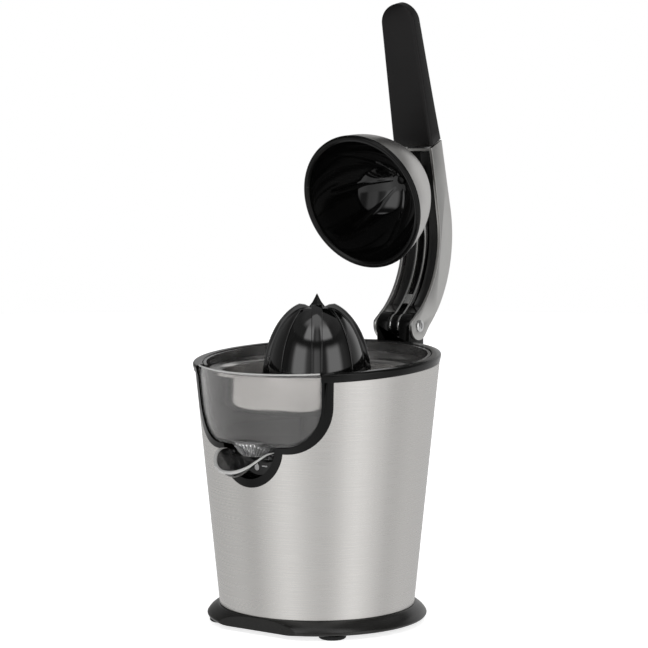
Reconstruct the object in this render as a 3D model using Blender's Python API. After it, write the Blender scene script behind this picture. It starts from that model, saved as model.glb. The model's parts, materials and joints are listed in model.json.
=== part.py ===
"""Citrus press juicer: a lever-arm press over a motor-driven reamer.

Metres, +Z up, the front (window and spout) faces -Y, the arm hinges at the rear and stands open.
Shapes are drawn in the body's own frame, whose Z axis is the reamer's axis, and hang under one
parent empty that puts the middle of the whole object over the origin.
"""
import math

import bmesh
import bpy
from mathutils import Matrix, Vector

# ---------------------------------------------------------------- driving dimensions
MID_Y = 0.02398           # the object's middle, seen from the reamer's axis
GAP = 0.0003              # clearance between neighbouring solids

LARGE = 44                # sides of the big turned pieces
CUP_SIDES = 32
MEDIUM = 20
SMALL = 10

# steel body: a cone that widens upwards, closed by a slanted rim
SHELL_BOTTOM = 0.0133
SHELL_R = 0.0729
SHELL_SLOPE = 0.1011
SHELL_SHEET = 0.0008
RIM_Z = 0.197             # rim's top plane over the reamer's axis
RIM_TILT = 0.063          # rise of that plane towards the rear
RIM_BAND = 0.006          # height of the rim's outer band
RIM_OUTER = 0.0923
RIM_INNER = 0.0849

# base
BASE_BOTTOM = 0.0032
BASE_TOP = 0.013
BASE_R = 0.0824
BASE_FLAT_Y = -0.0743     # the front of the base is cut flat
BASE_INNER = 0.0695
FOOT_R = 0.010
FOOT_H = 0.0029
FOOT_X = 0.050
FOOT_Y = 0.050

# front window, round-cornered, and the half-round recess below it
WINDOW_ANGLE = math.radians(38.4)
WINDOW_FLOOR = 0.1391
WINDOW_CORNER = 0.030
BORDER_ANGLE = math.radians(43.4)
BORDER_FLOOR = 0.1350
BORDER_CORNER = 0.034
RECESS_R = 0.024
RECESS_BORDER_R = 0.030
BORDER_DEPTH = 0.0032
BORDER_PROUD = 0.0004
RECESS_DEPTH = 0.0085
PANEL_SINK = 0.0066       # gloss panel's face below the shell's surface

# juice bowl and strainer
BOWL_R = 0.0844
BOWL_FOOT_R = 0.0790
BOWL_BOTTOM = 0.1392
BOWL_WALL = 0.0022
BOWL_FLOOR = 0.1416
COLUMN_TOP = 0.1600
COLUMN_OUTER = 0.0118
COLUMN_BORE = 0.0096
STRAINER_TOP = 0.1890
STRAINER_R = 0.0800
BASKET_R = 0.0660
BASKET_BOTTOM = 0.1592
BASKET_CORNER = 0.008
SHEET = 0.0009

# reamer
REAMER_BASE = 0.1650
REAMER_R = 0.0410
REAMER_SHOULDER = 0.2360
REAMER_TIP = 0.2435
FIN_HALF = 0.0040
SHOULDER_R = 0.0130

# drive
SHAFT_R = 0.0040
SHAFT_FLAT = 0.0030
SHAFT_BOTTOM = 0.0940
SHAFT_TOP = 0.1960
MODULE_OUT = 0.0010
TEETH_OUT = 54
TEETH_IDLER_SMALL = 10
MODULE_IN = 0.0008
TEETH_IDLER_BIG = 50
TEETH_MOTOR = 12
IDLER_Y = MODULE_OUT * (TEETH_OUT + TEETH_IDLER_SMALL) / 2
MOTOR_REACH = MODULE_IN * (TEETH_IDLER_BIG + TEETH_MOTOR) / 2
MOTOR_BEARING = math.radians(229.8)   # direction of the motor from the idler
MOTOR_X = MOTOR_REACH * math.cos(MOTOR_BEARING)
MOTOR_Y = IDLER_Y + MOTOR_REACH * math.sin(MOTOR_BEARING)
GEARBOX_Z = 0.0880
GEARBOX_LID = 0.1123
GEARBOX_TOP = 0.1150
BARREL_R = 0.0705
BARREL_WALL = 0.0020
BARREL_BOTTOM = 0.0206
DECK_TOP = 0.1389
DECK = 0.0030
DECK_R = 0.0740

# press action
COLLAR_Z = 0.1276
COLLAR_H = 0.0025
SPRING_FOOT = 0.1156
LEVER_X = 0.037
LEVER_Z = 0.1242
LEVER_RISE = math.radians(6.5)

# lever arm: a round bow from the pivot, then straight up into the grip
PIVOT_Y = 0.1108
PIVOT_Z = 0.2128
BOW_Y = 0.0665
BOW_Z = 0.2818
BOW_R = 0.0820
ARM_LEAN = math.radians(13.2)
ARM_HALF = 0.0088         # half the side plate's width at the bow
ARM_TOP_HALF = 0.0073     # and below the grip
ARM_END_R = 0.0110
ARM_X = 0.0182            # outer face of a side plate
PLATE = 0.0025
ARM_TOP_Z = 0.3525
CHANNEL_TOP_Z = 0.3488
CORE_LOW_Z = 0.3503       # flat bar inside the grip
CORE_TOP_Z = 0.4300
GRIP_TOP_Z = 0.4630
GRIP_HALF_W = 0.0183
GRIP_TOP_HALF_W = 0.0152
GRIP_HALF_D = 0.0070
KNUCKLE_R = 0.0100
RAIL_X = 0.0046
RAIL_SHEET = 0.0016
GROOVE_X = 0.0052
CHANNEL_FRONT = -0.0052   # the black channel's face, offset from the arm's middle line

# press cup, open end facing forwards and down
CUP_Y = 0.0570
CUP_Z = 0.3100
CUP_TILT = math.radians(16.3)
CUP_R = 0.0526
CUP_DEPTH = 0.0610
CUP_POWER = 1.66
CUP_ROOT = 0.48
CUP_SHEET = 0.0012
LINER = 0.0016
HUB_R = 0.0060
CUP_PIN_BACK = 0.0700     # pin's distance behind the rim plane, along the cup's axis

# spout
SPOUT_R = 0.0205
SPOUT_Y = -0.0880
SPOUT_WALL = 0.0016
SPOUT_TOP = 0.1370
SPOUT_FLOOR = 0.1262
SPOUT_PIN_Y = -0.0815
SPOUT_PIN_Z = 0.1315
SPOUT_PIN_R = 0.0012

COLOURS = {
    "steel_body": ((0.60, 0.59, 0.57), 0.32, 1.0),
    "satin_metal": ((0.55, 0.55, 0.54), 0.38, 0.9),
    "black_gloss": ((0.012, 0.012, 0.012), 0.08, 0.0),
    "black_satin": ((0.035, 0.035, 0.035), 0.35, 0.0),
    "grip_black": ((0.020, 0.020, 0.020), 0.50, 0.0),
    "smoke_clear": ((0.35, 0.34, 0.33), 0.06, 0.0),
    "rubber": ((0.015, 0.015, 0.015), 0.80, 0.0),
    "inner_plastic": ((0.10, 0.10, 0.11), 0.50, 0.0),
    "gear_plastic": ((0.80, 0.79, 0.74), 0.45, 0.0),
    "zinc_steel": ((0.50, 0.50, 0.50), 0.35, 1.0),
    "copper": ((0.60, 0.25, 0.12), 0.35, 1.0),
    "brass": ((0.65, 0.48, 0.20), 0.30, 1.0),
}


# ---------------------------------------------------------------- scene helpers
def clear_scene():
    for obj in list(bpy.data.objects):
        bpy.data.objects.remove(obj, do_unlink=True)


def make_material(slot):
    colour, roughness, metallic = COLOURS[slot]
    material = bpy.data.materials.get(slot) or bpy.data.materials.new(slot)
    material.use_nodes = True
    shader = material.node_tree.nodes["Principled BSDF"]
    shader.inputs["Base Color"].default_value = (*colour, 1.0)
    shader.inputs["Roughness"].default_value = roughness
    shader.inputs["Metallic"].default_value = metallic
    if slot == "smoke_clear":
        shader.inputs["Transmission Weight"].default_value = 0.85
    return material


def make_axis(name, position, parent=None):
    """An empty on a joint's axis, at a position in the body's frame."""
    empty = bpy.data.objects.new(name, None)
    bpy.context.collection.objects.link(empty)
    empty["at"] = tuple(position)
    if parent is None:
        empty.location = position
    else:
        empty.parent = parent
        empty.location = Vector(position) - Vector(parent["at"])
    return empty


def make_object(name, bm, slot, axis):
    """Turn a closed bmesh, drawn in the body's frame, into an object that hangs on an axis."""
    bmesh.ops.recalc_face_normals(bm, faces=bm.faces)
    mesh = bpy.data.meshes.new(name)
    bm.to_mesh(mesh)
    bm.free()
    mesh.transform(Matrix.Translation(-Vector(axis["at"])))
    obj = bpy.data.objects.new(name, mesh)
    bpy.context.collection.objects.link(obj)
    obj.parent = axis
    if slot:
        mesh.materials.append(make_material(slot))
        mesh.shade_smooth()
        mesh.set_sharp_from_angle(angle=math.radians(35))
    else:
        obj.hide_render = True
        obj.display_type = "WIRE"
    return obj


def combine(obj, other, operation):
    modifier = obj.modifiers.new(operation.lower(), "BOOLEAN")
    modifier.operation = operation
    modifier.solver = "EXACT"
    modifier.object = other
    return obj


def cut(obj, *cutters):
    for cutter in cutters:
        combine(obj, cutter, "DIFFERENCE")
    return obj


def join(obj, *others):
    for other in others:
        combine(obj, other, "UNION")
    return obj


def keep_inside(obj, *others):
    for other in others:
        combine(obj, other, "INTERSECT")
    return obj


# ---------------------------------------------------------------- mesh helpers
def skin(bm, rings):
    """Join rings of the same number of points with quads, and cap both ends."""
    rows = [[bm.verts.new(point) for point in ring] for ring in rings]
    for low, high in zip(rows, rows[1:]):
        for i in range(len(low)):
            k = (i + 1) % len(low)
            bm.faces.new((low[i], low[k], high[k], high[i]))
    bm.faces.new(list(reversed(rows[0])))
    bm.faces.new(rows[-1])
    return bm


def turned(profile, sides, centre=(0.0, 0.0), lift=None):
    """A solid turned round a vertical axis, from (radius, height) points.

    A profile that starts and ends at radius 0 gets flat or pointed ends there, and any other is
    closed on itself like a ring. lift(x, y, z) may give each point another height.
    """
    def place(radius, height, turn):
        x = centre[0] + radius * math.cos(turn)
        y = centre[1] + radius * math.sin(turn)
        return (x, y, lift(x, y, height) if lift else height)

    bm = bmesh.new()
    solid = profile[0][0] == 0.0
    body = profile[1:-1] if solid else profile + profile[:1]
    rows = []
    for radius, height in body[:None if solid else -1]:
        rows.append([bm.verts.new(place(radius, height, 2 * math.pi * i / sides)) for i in range(sides)])
    if not solid:
        rows.append(rows[0])
    for low, high in zip(rows, rows[1:]):
        for i in range(sides):
            k = (i + 1) % sides
            bm.faces.new((low[i], low[k], high[k], high[i]))
    if solid:
        for (_, height), neighbour, row in ((profile[0], profile[1], rows[0]),
                                            (profile[-1], profile[-2], rows[-1])):
            if height == neighbour[1]:
                bm.faces.new(row)
                continue
            tip = bm.verts.new(place(0.0, height, 0.0))
            for i in range(sides):
                bm.faces.new((row[i], row[(i + 1) % sides], tip))
    return bm


def turned_about(profile, sides, origin, direction):
    """A solid turned round the line through origin along direction."""
    bm = turned(profile, sides)
    turn = Vector((0, 0, 1)).rotation_difference(Vector(direction))
    bm.transform(Matrix.Translation(origin) @ turn.to_matrix().to_4x4())
    return bm


def rod(start, end, radius, sides=SMALL):
    start = Vector(start)
    end = Vector(end)
    length = (end - start).length
    return turned_about([(0.0, 0.0), (radius, 0.0), (radius, length), (0.0, length)],
                        sides, start, end - start)


def block(low, high):
    bm = bmesh.new()
    bmesh.ops.create_cube(bm, size=1.0)
    size = [b - a for a, b in zip(low, high)]
    middle = [(a + b) / 2 for a, b in zip(low, high)]
    bm.transform(Matrix.Translation(middle) @ Matrix.Diagonal((*size, 1.0)))
    return bm


def prism(outline, low, high, axis="z"):
    """A straight solid from a 2-D outline: (x, y) along z, (y, z) along x or (x, z) along y."""
    place = {"z": lambda a, b, h: (a, b, h),
             "x": lambda a, b, h: (h, a, b),
             "y": lambda a, b, h: (a, h, b)}[axis]
    rings = [[place(a, b, height) for a, b in outline] for height in (low, high)]
    return skin(bmesh.new(), rings)


def arc(centre, radius, start, end, count):
    """Points on a circle from one angle to another, both in degrees."""
    points = []
    for i in range(count + 1):
        turn = math.radians(start + (end - start) * i / count)
        points.append((centre[0] + radius * math.cos(turn), centre[1] + radius * math.sin(turn)))
    return points


def cutter(name, bm, axis):
    return make_object(name, bm, None, axis)


# ---------------------------------------------------------------- shapes of the body
def shell_r(z):
    return SHELL_R + (z - SHELL_BOTTOM) * SHELL_SLOPE


def on_rim(x, y, z):
    """A height given relative to the rim's slanted top plane."""
    return z + RIM_Z + RIM_TILT * y


def cone_band(inner_sink, outer_sink, low, high, sides=LARGE):
    """A conical band parallel to the shell, between two depths below its surface."""
    profile = [(shell_r(low) - outer_sink, low), (shell_r(high) - outer_sink, high),
               (shell_r(high) - inner_sink, high), (shell_r(low) - inner_sink, low)]
    return turned(profile, sides)


def window_outline(angle, floor, corner, recess, inset=0.0, top=0.215):
    """The window's outline seen from the front, open upwards, with the recess's half round."""
    middle_r = shell_r(floor + corner)
    reach = angle * middle_r - inset
    corner = corner - inset
    floor = floor + inset
    right = [(reach, top)]
    right += arc((reach - corner, floor + corner), corner, 0, -90, 5)
    if recess:
        right += arc((0.0, WINDOW_FLOOR), recess, math.degrees(math.asin((floor - WINDOW_FLOOR) / recess)),
                     -90, 7)
    right = [(shell_r(z) * math.sin(u / middle_r), z) for u, z in right]
    left = [(-x, z) for x, z in reversed(right) if x > 1e-6]
    return right + left


def recess_outline(radius):
    points = [(radius * math.cos(t), WINDOW_FLOOR - GAP + radius * math.sin(t))
              for t in [math.radians(-180 * i / 14) for i in range(15)]]
    return points


# ---------------------------------------------------------------- arm geometry
def bow_point(turn, offset):
    """A point of the bow, at an angle seen from the bow's centre and an offset outwards."""
    return (BOW_Y + (BOW_R + offset) * math.cos(turn), BOW_Z + (BOW_R + offset) * math.sin(turn))


def arm_point(z, offset):
    """A point beside the straight upper arm's middle line at a height."""
    start_y, start_z = bow_point(ARM_LEAN, 0.0)
    along = (z - start_z) / math.cos(ARM_LEAN)
    y = start_y - along * math.sin(ARM_LEAN)
    return (y + offset * math.cos(ARM_LEAN), z + offset * math.sin(ARM_LEAN))


PIVOT_TURN = math.atan2(PIVOT_Z - BOW_Z, PIVOT_Y - BOW_Y)


# ---------------------------------------------------------------- base and shell
def build_base(root):
    profile = [(BASE_INNER, BASE_BOTTOM), (0.0795, BASE_BOTTOM), (0.0815, 0.0038), (BASE_R, 0.0056),
               (0.0802, 0.0088), (0.0770, 0.0113), (0.0741, BASE_TOP), (0.0718, BASE_TOP),
               (0.0714, 0.0200), (BASE_INNER, 0.0200)]
    ring = make_object("base_ring", turned(profile, LARGE), "black_satin", root)
    front = cutter("base_front_cut", block((-0.1, -0.1, -0.01), (0.1, BASE_FLAT_Y, 0.03)), root)
    inlet = cutter("cord_hole_cut", rod((0, 0.060, 0.0084), (0, 0.095, 0.0084), 0.0036), root)
    cut(ring, front, inlet)

    grommet = [(0.0018, 0.0), (0.0033, 0.0), (0.0033, 0.0135), (0.0044, 0.0138), (0.0040, 0.0158),
               (0.0018, 0.0165)]
    make_object("cord_inlet_bush", turned_about(grommet, SMALL, (0, 0.0695, 0.0084), (0, 1, 0)),
                "rubber", root)

    cover = make_object("bottom_cover", turned([(0.0, 0.0036), (0.0686, 0.0036), (0.0686, 0.0058),
                                                (0.0, 0.0058)], LARGE), "inner_plastic", root)
    for index in range(5):
        x = -0.024 + 0.012 * index
        slot = block((x - 0.002, -0.022, 0.0), (x + 0.002, 0.022, 0.01))
        cut(cover, cutter(f"vent_cut_{index}", slot, root))

    for index, (x, y) in enumerate(post_places()):
        hole = rod((x, y, 0.0), (x, y, 0.012), 0.0019, 8)
        cut(cover, cutter(f"screw_hole_cut_{index}", hole, root))
        screw = [(0.0, 0.0014), (0.0032, 0.0018), (0.0032, 0.0033), (0.0015, 0.0033),
                 (0.0015, 0.0170), (0.0, 0.0180)]
        make_object(f"cover_screw_{index + 1}", turned(screw, 10, (x, y)), "zinc_steel", root)

    foot = [(0.0, 0.0), (FOOT_R - 0.0012, 0.0), (FOOT_R, 0.0010), (FOOT_R, FOOT_H), (0.0, FOOT_H)]
    for side, x in (("left", -FOOT_X), ("right", FOOT_X)):
        for end, y in (("front", -FOOT_Y), ("rear", FOOT_Y)):
            make_object(f"foot_{end}_{side}", turned(foot, MEDIUM, (x, y)), "rubber", root)


def post_places():
    """Where the inner barrel's three screw posts stand."""
    reach = 0.0640
    return [(reach * math.cos(t), reach * math.sin(t))
            for t in [math.radians(a) for a in (0, 120, 240)]]


def build_shell(root):
    low = SHELL_BOTTOM
    high = 0.230
    profile = [(shell_r(low), low), (shell_r(high), high),
               (shell_r(high) - SHELL_SHEET, high), (shell_r(low) - SHELL_SHEET, low)]
    shell = make_object("body_shell", turned(profile, LARGE), "steel_body", root)
    outline = window_outline(BORDER_ANGLE, BORDER_FLOOR, BORDER_CORNER, RECESS_BORDER_R + GAP, -GAP,
                             0.25)
    opening = cutter("shell_window_cut", prism(outline, -0.12, -0.03, "y"), root)
    above = [(0.0, 0.06), (0.12, 0.06), (0.12, -RIM_BAND - GAP), (0.0, -RIM_BAND - GAP)]
    top = cutter("shell_top_cut", turned(above, LARGE, lift=on_rim), root)
    cut(shell, opening, top)


def build_top_frame(root):
    rim = [(0.0914, -RIM_BAND), (RIM_OUTER, -0.0012), (0.0915, 0.0), (0.0856, 0.0),
           (RIM_INNER, -0.0007), (RIM_INNER, -0.0085), (0.0866, -0.0085), (0.0866, -RIM_BAND)]
    frame = make_object("top_frame", turned(rim, LARGE, lift=on_rim), "black_satin", root)

    border = cutter("window_border", cone_band(BORDER_DEPTH, -BORDER_PROUD, 0.100, 0.196), root)
    outer = window_outline(BORDER_ANGLE, BORDER_FLOOR, BORDER_CORNER, RECESS_BORDER_R)
    keep_inside(border, cutter("border_outer", prism(outer, -0.12, -0.03, "y"), root))
    below_rim = [(0.0, 0.06), (0.12, 0.06), (0.12, -0.003), (0.0, -0.003)]
    cut(border, cutter("border_top_cut", turned(below_rim, LARGE, lift=on_rim), root))

    well = cutter("recess_well", cone_band(RECESS_DEPTH, 0.0020, 0.100, WINDOW_FLOOR - GAP), root)
    keep_inside(well, cutter("well_outer", prism(recess_outline(0.0272), -0.12, -0.03, "y"), root))

    inner = window_outline(WINDOW_ANGLE, WINDOW_FLOOR, WINDOW_CORNER, RECESS_R)
    window = cutter("window_cut", prism(inner, -0.12, -0.03, "y"), root)
    for piece in (frame, border):
        cut(piece, window)
    throat = [(RECESS_R + 0.0002, 0.150)] + recess_outline(RECESS_R + 0.0002) + [(-RECESS_R - 0.0002, 0.150)]
    cut(well, cutter("well_cut", prism(throat, -0.12, -0.03, "y"), root))
    join(frame, border, well)

    panel = make_object("recess_panel", cone_band(RECESS_DEPTH - 0.0003, PANEL_SINK, 0.100, 0.150),
                        "black_gloss", root)
    keep_inside(panel, cutter("panel_outline", prism(recess_outline(RECESS_R - GAP), -0.12, -0.03, "y"),
                              root))


def build_barrel(root):
    """Inner plastic body: barrel, deck for the bowl, shaft sleeve and screw posts."""
    inner = BARREL_R - BARREL_WALL
    under = DECK_TOP - DECK
    profile = [(inner, BARREL_BOTTOM), (BARREL_R, BARREL_BOTTOM), (BARREL_R, under), (DECK_R, under),
               (DECK_R, DECK_TOP), (0.0090, DECK_TOP), (0.0090, 0.1575), (0.0070, 0.1575),
               (0.0070, 0.1335), (0.0090, 0.1335), (0.0090, under), (inner, under)]
    barrel = make_object("inner_barrel", turned(profile, LARGE), "inner_plastic", root)
    for index, (x, y) in enumerate(post_places()):
        join(barrel, cutter(f"post_{index}", rod((x, y, 0.0061), (x, y, 0.060), 0.0048), root))
        cut(barrel, cutter(f"post_bore_{index}", rod((x, y, 0.0), (x, y, 0.022), 0.0018, 8), root))


def build_bowl(root):
    def rim_lift(x, y, z):
        return z + RIM_TILT * y if z > 0.18 else z

    lip = RIM_Z - 0.0006
    outside = [(0.0, BOWL_BOTTOM), (BOWL_FOOT_R - 0.006, BOWL_BOTTOM), (BOWL_FOOT_R - 0.001, 0.1412),
               (BOWL_FOOT_R + 0.0008, 0.1460), (BOWL_R, 0.1850), (BOWL_R, lip), (0.0, lip)]
    bowl = make_object("juice_bowl", turned(outside, LARGE, lift=rim_lift), "smoke_clear", root)

    bay = cutter("bowl_bay", cone_band(0.030, 0.0008, BOWL_BOTTOM, 0.1915), root)
    bay_outline = window_outline(WINDOW_ANGLE, WINDOW_FLOOR, WINDOW_CORNER, 0.0, 0.0004)
    keep_inside(bay, cutter("bay_outline", prism(bay_outline, -0.12, -0.05, "y"), root))
    join(bowl, bay)

    wall = BOWL_WALL
    inside = [(0.0, BOWL_FLOOR), (BOWL_FOOT_R - 0.0075, BOWL_FLOOR), (BOWL_FOOT_R - 0.0030, 0.1434),
              (BOWL_FOOT_R - 0.0014, 0.1475), (BOWL_R - wall, 0.1850), (BOWL_R - wall, 0.26),
              (0.0, 0.26)]
    hollow = cutter("bowl_hollow", turned(inside, LARGE), root)
    bay_hollow = cutter("bay_hollow", cone_band(0.034, 0.0008 + wall, BOWL_FLOOR, 0.200), root)
    inner_outline = window_outline(WINDOW_ANGLE, WINDOW_FLOOR, WINDOW_CORNER, 0.0, 0.0004 + wall)
    keep_inside(bay_hollow, cutter("bay_inner", prism(inner_outline, -0.12, -0.045, "y"), root))
    cut(bowl, hollow, bay_hollow)

    column = [(0.0, 0.1400), (COLUMN_OUTER, 0.1400), (COLUMN_OUTER, COLUMN_TOP), (0.0, COLUMN_TOP)]
    join(bowl, cutter("bowl_column", turned(column, MEDIUM), root))
    cut(bowl, cutter("column_bore", rod((0, 0, 0.130), (0, 0, 0.170), COLUMN_BORE, MEDIUM), root))
    outlet = block((-0.011, -0.0815, 0.130), (0.011, -0.0760, 0.145))
    cut(bowl, cutter("bowl_outlet_cut", outlet, root))


def build_strainer(root):
    corner = arc((BASKET_R - BASKET_CORNER, BASKET_BOTTOM + BASKET_CORNER), BASKET_CORNER, -90, 0, 3)
    inner = arc((BASKET_R - BASKET_CORNER, BASKET_BOTTOM + BASKET_CORNER), BASKET_CORNER - SHEET,
                0, -90, 3)
    profile = [(0.0135, BASKET_BOTTOM)] + corner
    profile += [(BASKET_R, STRAINER_TOP - SHEET), (STRAINER_R - 0.0008, STRAINER_TOP - SHEET),
                (STRAINER_R - 0.0008, STRAINER_TOP - 0.0026), (STRAINER_R, STRAINER_TOP - 0.0026),
                (STRAINER_R, STRAINER_TOP), (BASKET_R - SHEET, STRAINER_TOP)]
    profile += inner + [(0.0135, BASKET_BOTTOM + SHEET)]
    strainer = make_object("strainer", turned(profile, LARGE), "steel_body", root)
    slots = bmesh.new()
    count = 8
    for index in range(count):
        slot = block((0.020, -0.0012, 0.150), (0.048, 0.0012, 0.168))
        slot.transform(Matrix.Rotation(2 * math.pi * index / count, 4, "Z"))
        mesh = bpy.data.meshes.new("slot")
        slot.to_mesh(mesh)
        slots.from_mesh(mesh)
        slot.free()
        bpy.data.meshes.remove(mesh)
    cut(strainer, cutter("strainer_slots", slots, root))


# ---------------------------------------------------------------- spout
def build_spout(root, spout_axis):
    def plan(radius, front_stretch, back):
        """Half-round front and straight sides, as seen from above."""
        points = [(radius, back)]
        points += [(x, SPOUT_Y + (y - SPOUT_Y) * front_stretch)
                   for x, y in arc((0.0, SPOUT_Y), radius, 0, -180, 12)]
        points += [(-radius, back)]
        return points

    outer = [(SPOUT_FLOOR, 0.0165, 1.14, SPOUT_PIN_Y - 0.0005), (SPOUT_TOP, SPOUT_R, 1.10,
                                                              SPOUT_PIN_Y + 0.0010)]
    rings = [[(x, y, z) for x, y in plan(radius, stretch, back)] for z, radius, stretch, back in outer]
    spout = make_object("spout", skin(bmesh.new(), rings), "smoke_clear", spout_axis)
    inner = [(SPOUT_FLOOR + SPOUT_WALL, 0.0165 - SPOUT_WALL, 1.14, -0.0700),
             (SPOUT_TOP + 0.002, SPOUT_R - SPOUT_WALL + 0.0006, 1.10, -0.0700)]
    rings = [[(x, y, z) for x, y in plan(radius, stretch, back)] for z, radius, stretch, back in inner]
    cut(spout, cutter("spout_hollow", skin(bmesh.new(), rings), spout_axis))
    mouth = [(0.0062, 0.150), (0.0062, 0.1372), (0.0105, 0.1338), (0.0150, 0.1312), (-0.0150, 0.1312),
             (-0.0105, 0.1338), (-0.0062, 0.1372), (-0.0062, 0.150)]
    cut(spout, cutter("spout_mouth_cut", prism(mouth, -0.13, -0.095, "y"), spout_axis))

    for side, sign in (("left", -1), ("right", 1)):
        bore = rod((sign * 0.014, SPOUT_PIN_Y, SPOUT_PIN_Z), (sign * 0.024, SPOUT_PIN_Y, SPOUT_PIN_Z),
                   SPOUT_PIN_R + GAP, 8)
        ear = block((min(sign * 0.0155, sign * 0.0188), SPOUT_PIN_Y - 0.004, SPOUT_PIN_Z - 0.0028),
                    (max(sign * 0.0155, sign * 0.0188), SPOUT_PIN_Y + 0.0026, SPOUT_PIN_Z + 0.0030))
        join(spout, cutter(f"spout_ear_{side}", ear, spout_axis))
        cut(spout, cutter(f"spout_bore_{side}", bore, spout_axis))
        pin = rod((sign * 0.0158, SPOUT_PIN_Y, SPOUT_PIN_Z), (sign * 0.0204, SPOUT_PIN_Y, SPOUT_PIN_Z),
                  SPOUT_PIN_R, 8)
        make_object(f"spout_pin_{side}", pin, "zinc_steel", root)


# ---------------------------------------------------------------- reamer
def reamer_ring(z, body_r, fin_r, ridge_r):
    """Cross-section: round body, four flat-topped fins and four thin ridges between them."""
    half = min(FIN_HALF, body_r * 0.55)
    points = []
    for quarter in range(4):
        turn = quarter * math.pi / 2
        foot = math.asin(min(0.98, half / body_r))
        local = [(fin_r, -half), (fin_r, half)]
        corner = [(body_r * math.cos(foot), half)]
        for a in (0.45, 0.80, 0.93, 1.07, 1.20, 1.55):
            angle = foot + (math.pi / 4 - foot) * a if a <= 1 else 0.0
            if a > 1:
                angle = math.pi / 2 - (foot + (math.pi / 4 - foot) * (2 - a))
            r = ridge_r if a in (0.93, 1.07) else body_r
            corner.append((r * math.cos(angle), r * math.sin(angle)))
        corner.append((half, body_r * math.cos(foot)))
        for x, y in local + corner:
            points.append((x * math.cos(turn) - y * math.sin(turn),
                           x * math.sin(turn) + y * math.cos(turn), z))
    return points


def build_reamer(reamer_axis):
    height = REAMER_SHOULDER - REAMER_BASE
    rings = []
    for share in (0.0, 0.10, 0.30, 0.48, 0.64, 0.77, 0.87, 0.94, 1.0):
        z = REAMER_BASE + height * share
        fin = SHOULDER_R + (REAMER_R - SHOULDER_R) * (1 - share ** 2.6) ** 0.62
        body = fin - 0.0046 - 0.0010 * share
        body = max(body, 0.0068)
        ridge = body + 0.0022 * (1 - share ** 3)
        rings.append(reamer_ring(z, body, fin, ridge))
    for z, size in ((REAMER_SHOULDER + 0.0004, 0.0054), (REAMER_SHOULDER + 0.0032, 0.0030),
                    (REAMER_TIP, 0.0004)):
        rings.append(reamer_ring(z, size * 0.9, size, size * 0.9))
    reamer = make_object("reamer", skin(bmesh.new(), rings), "black_gloss", reamer_axis)
    turn_fins = Matrix.Rotation(math.radians(-54.0), 4, "Z")
    reamer.data.transform(turn_fins)

    hollow = [(0.0120, 0.150), (0.0325, 0.150), (0.0325, 0.180), (0.0270, 0.200), (0.0180, 0.214),
              (0.0120, 0.214)]
    bore = cutter("reamer_bore", rod((0, 0, 0.150), (0, 0, 0.198), SHAFT_R + GAP, MEDIUM), reamer_axis)
    flats = block((-SHAFT_FLAT - GAP, -0.02, 0.14), (SHAFT_FLAT + GAP, 0.02, 0.25))
    keep_inside(bore, cutter("reamer_bore_flats", flats, reamer_axis))
    cut(reamer, cutter("reamer_hollow", turned(hollow, MEDIUM), reamer_axis), bore)


# ---------------------------------------------------------------- gears and motor
def gear_outline(teeth, module, phase, centre):
    """Straight-flanked teeth, a little slimmer than half the pitch, one centred on the phase."""
    pitch_r = teeth * module / 2
    tip_r = pitch_r + 0.90 * module
    root_r = pitch_r - 1.25 * module
    pitch = 2 * math.pi / teeth
    points = []
    for tooth in range(teeth):
        middle = phase + tooth * pitch
        for radius, share in ((root_r, -0.34), (tip_r, -0.11), (tip_r, 0.11), (root_r, 0.34)):
            turn = middle + share * pitch
            points.append((centre[0] + radius * math.cos(turn), centre[1] + radius * math.sin(turn)))
    return points


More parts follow.
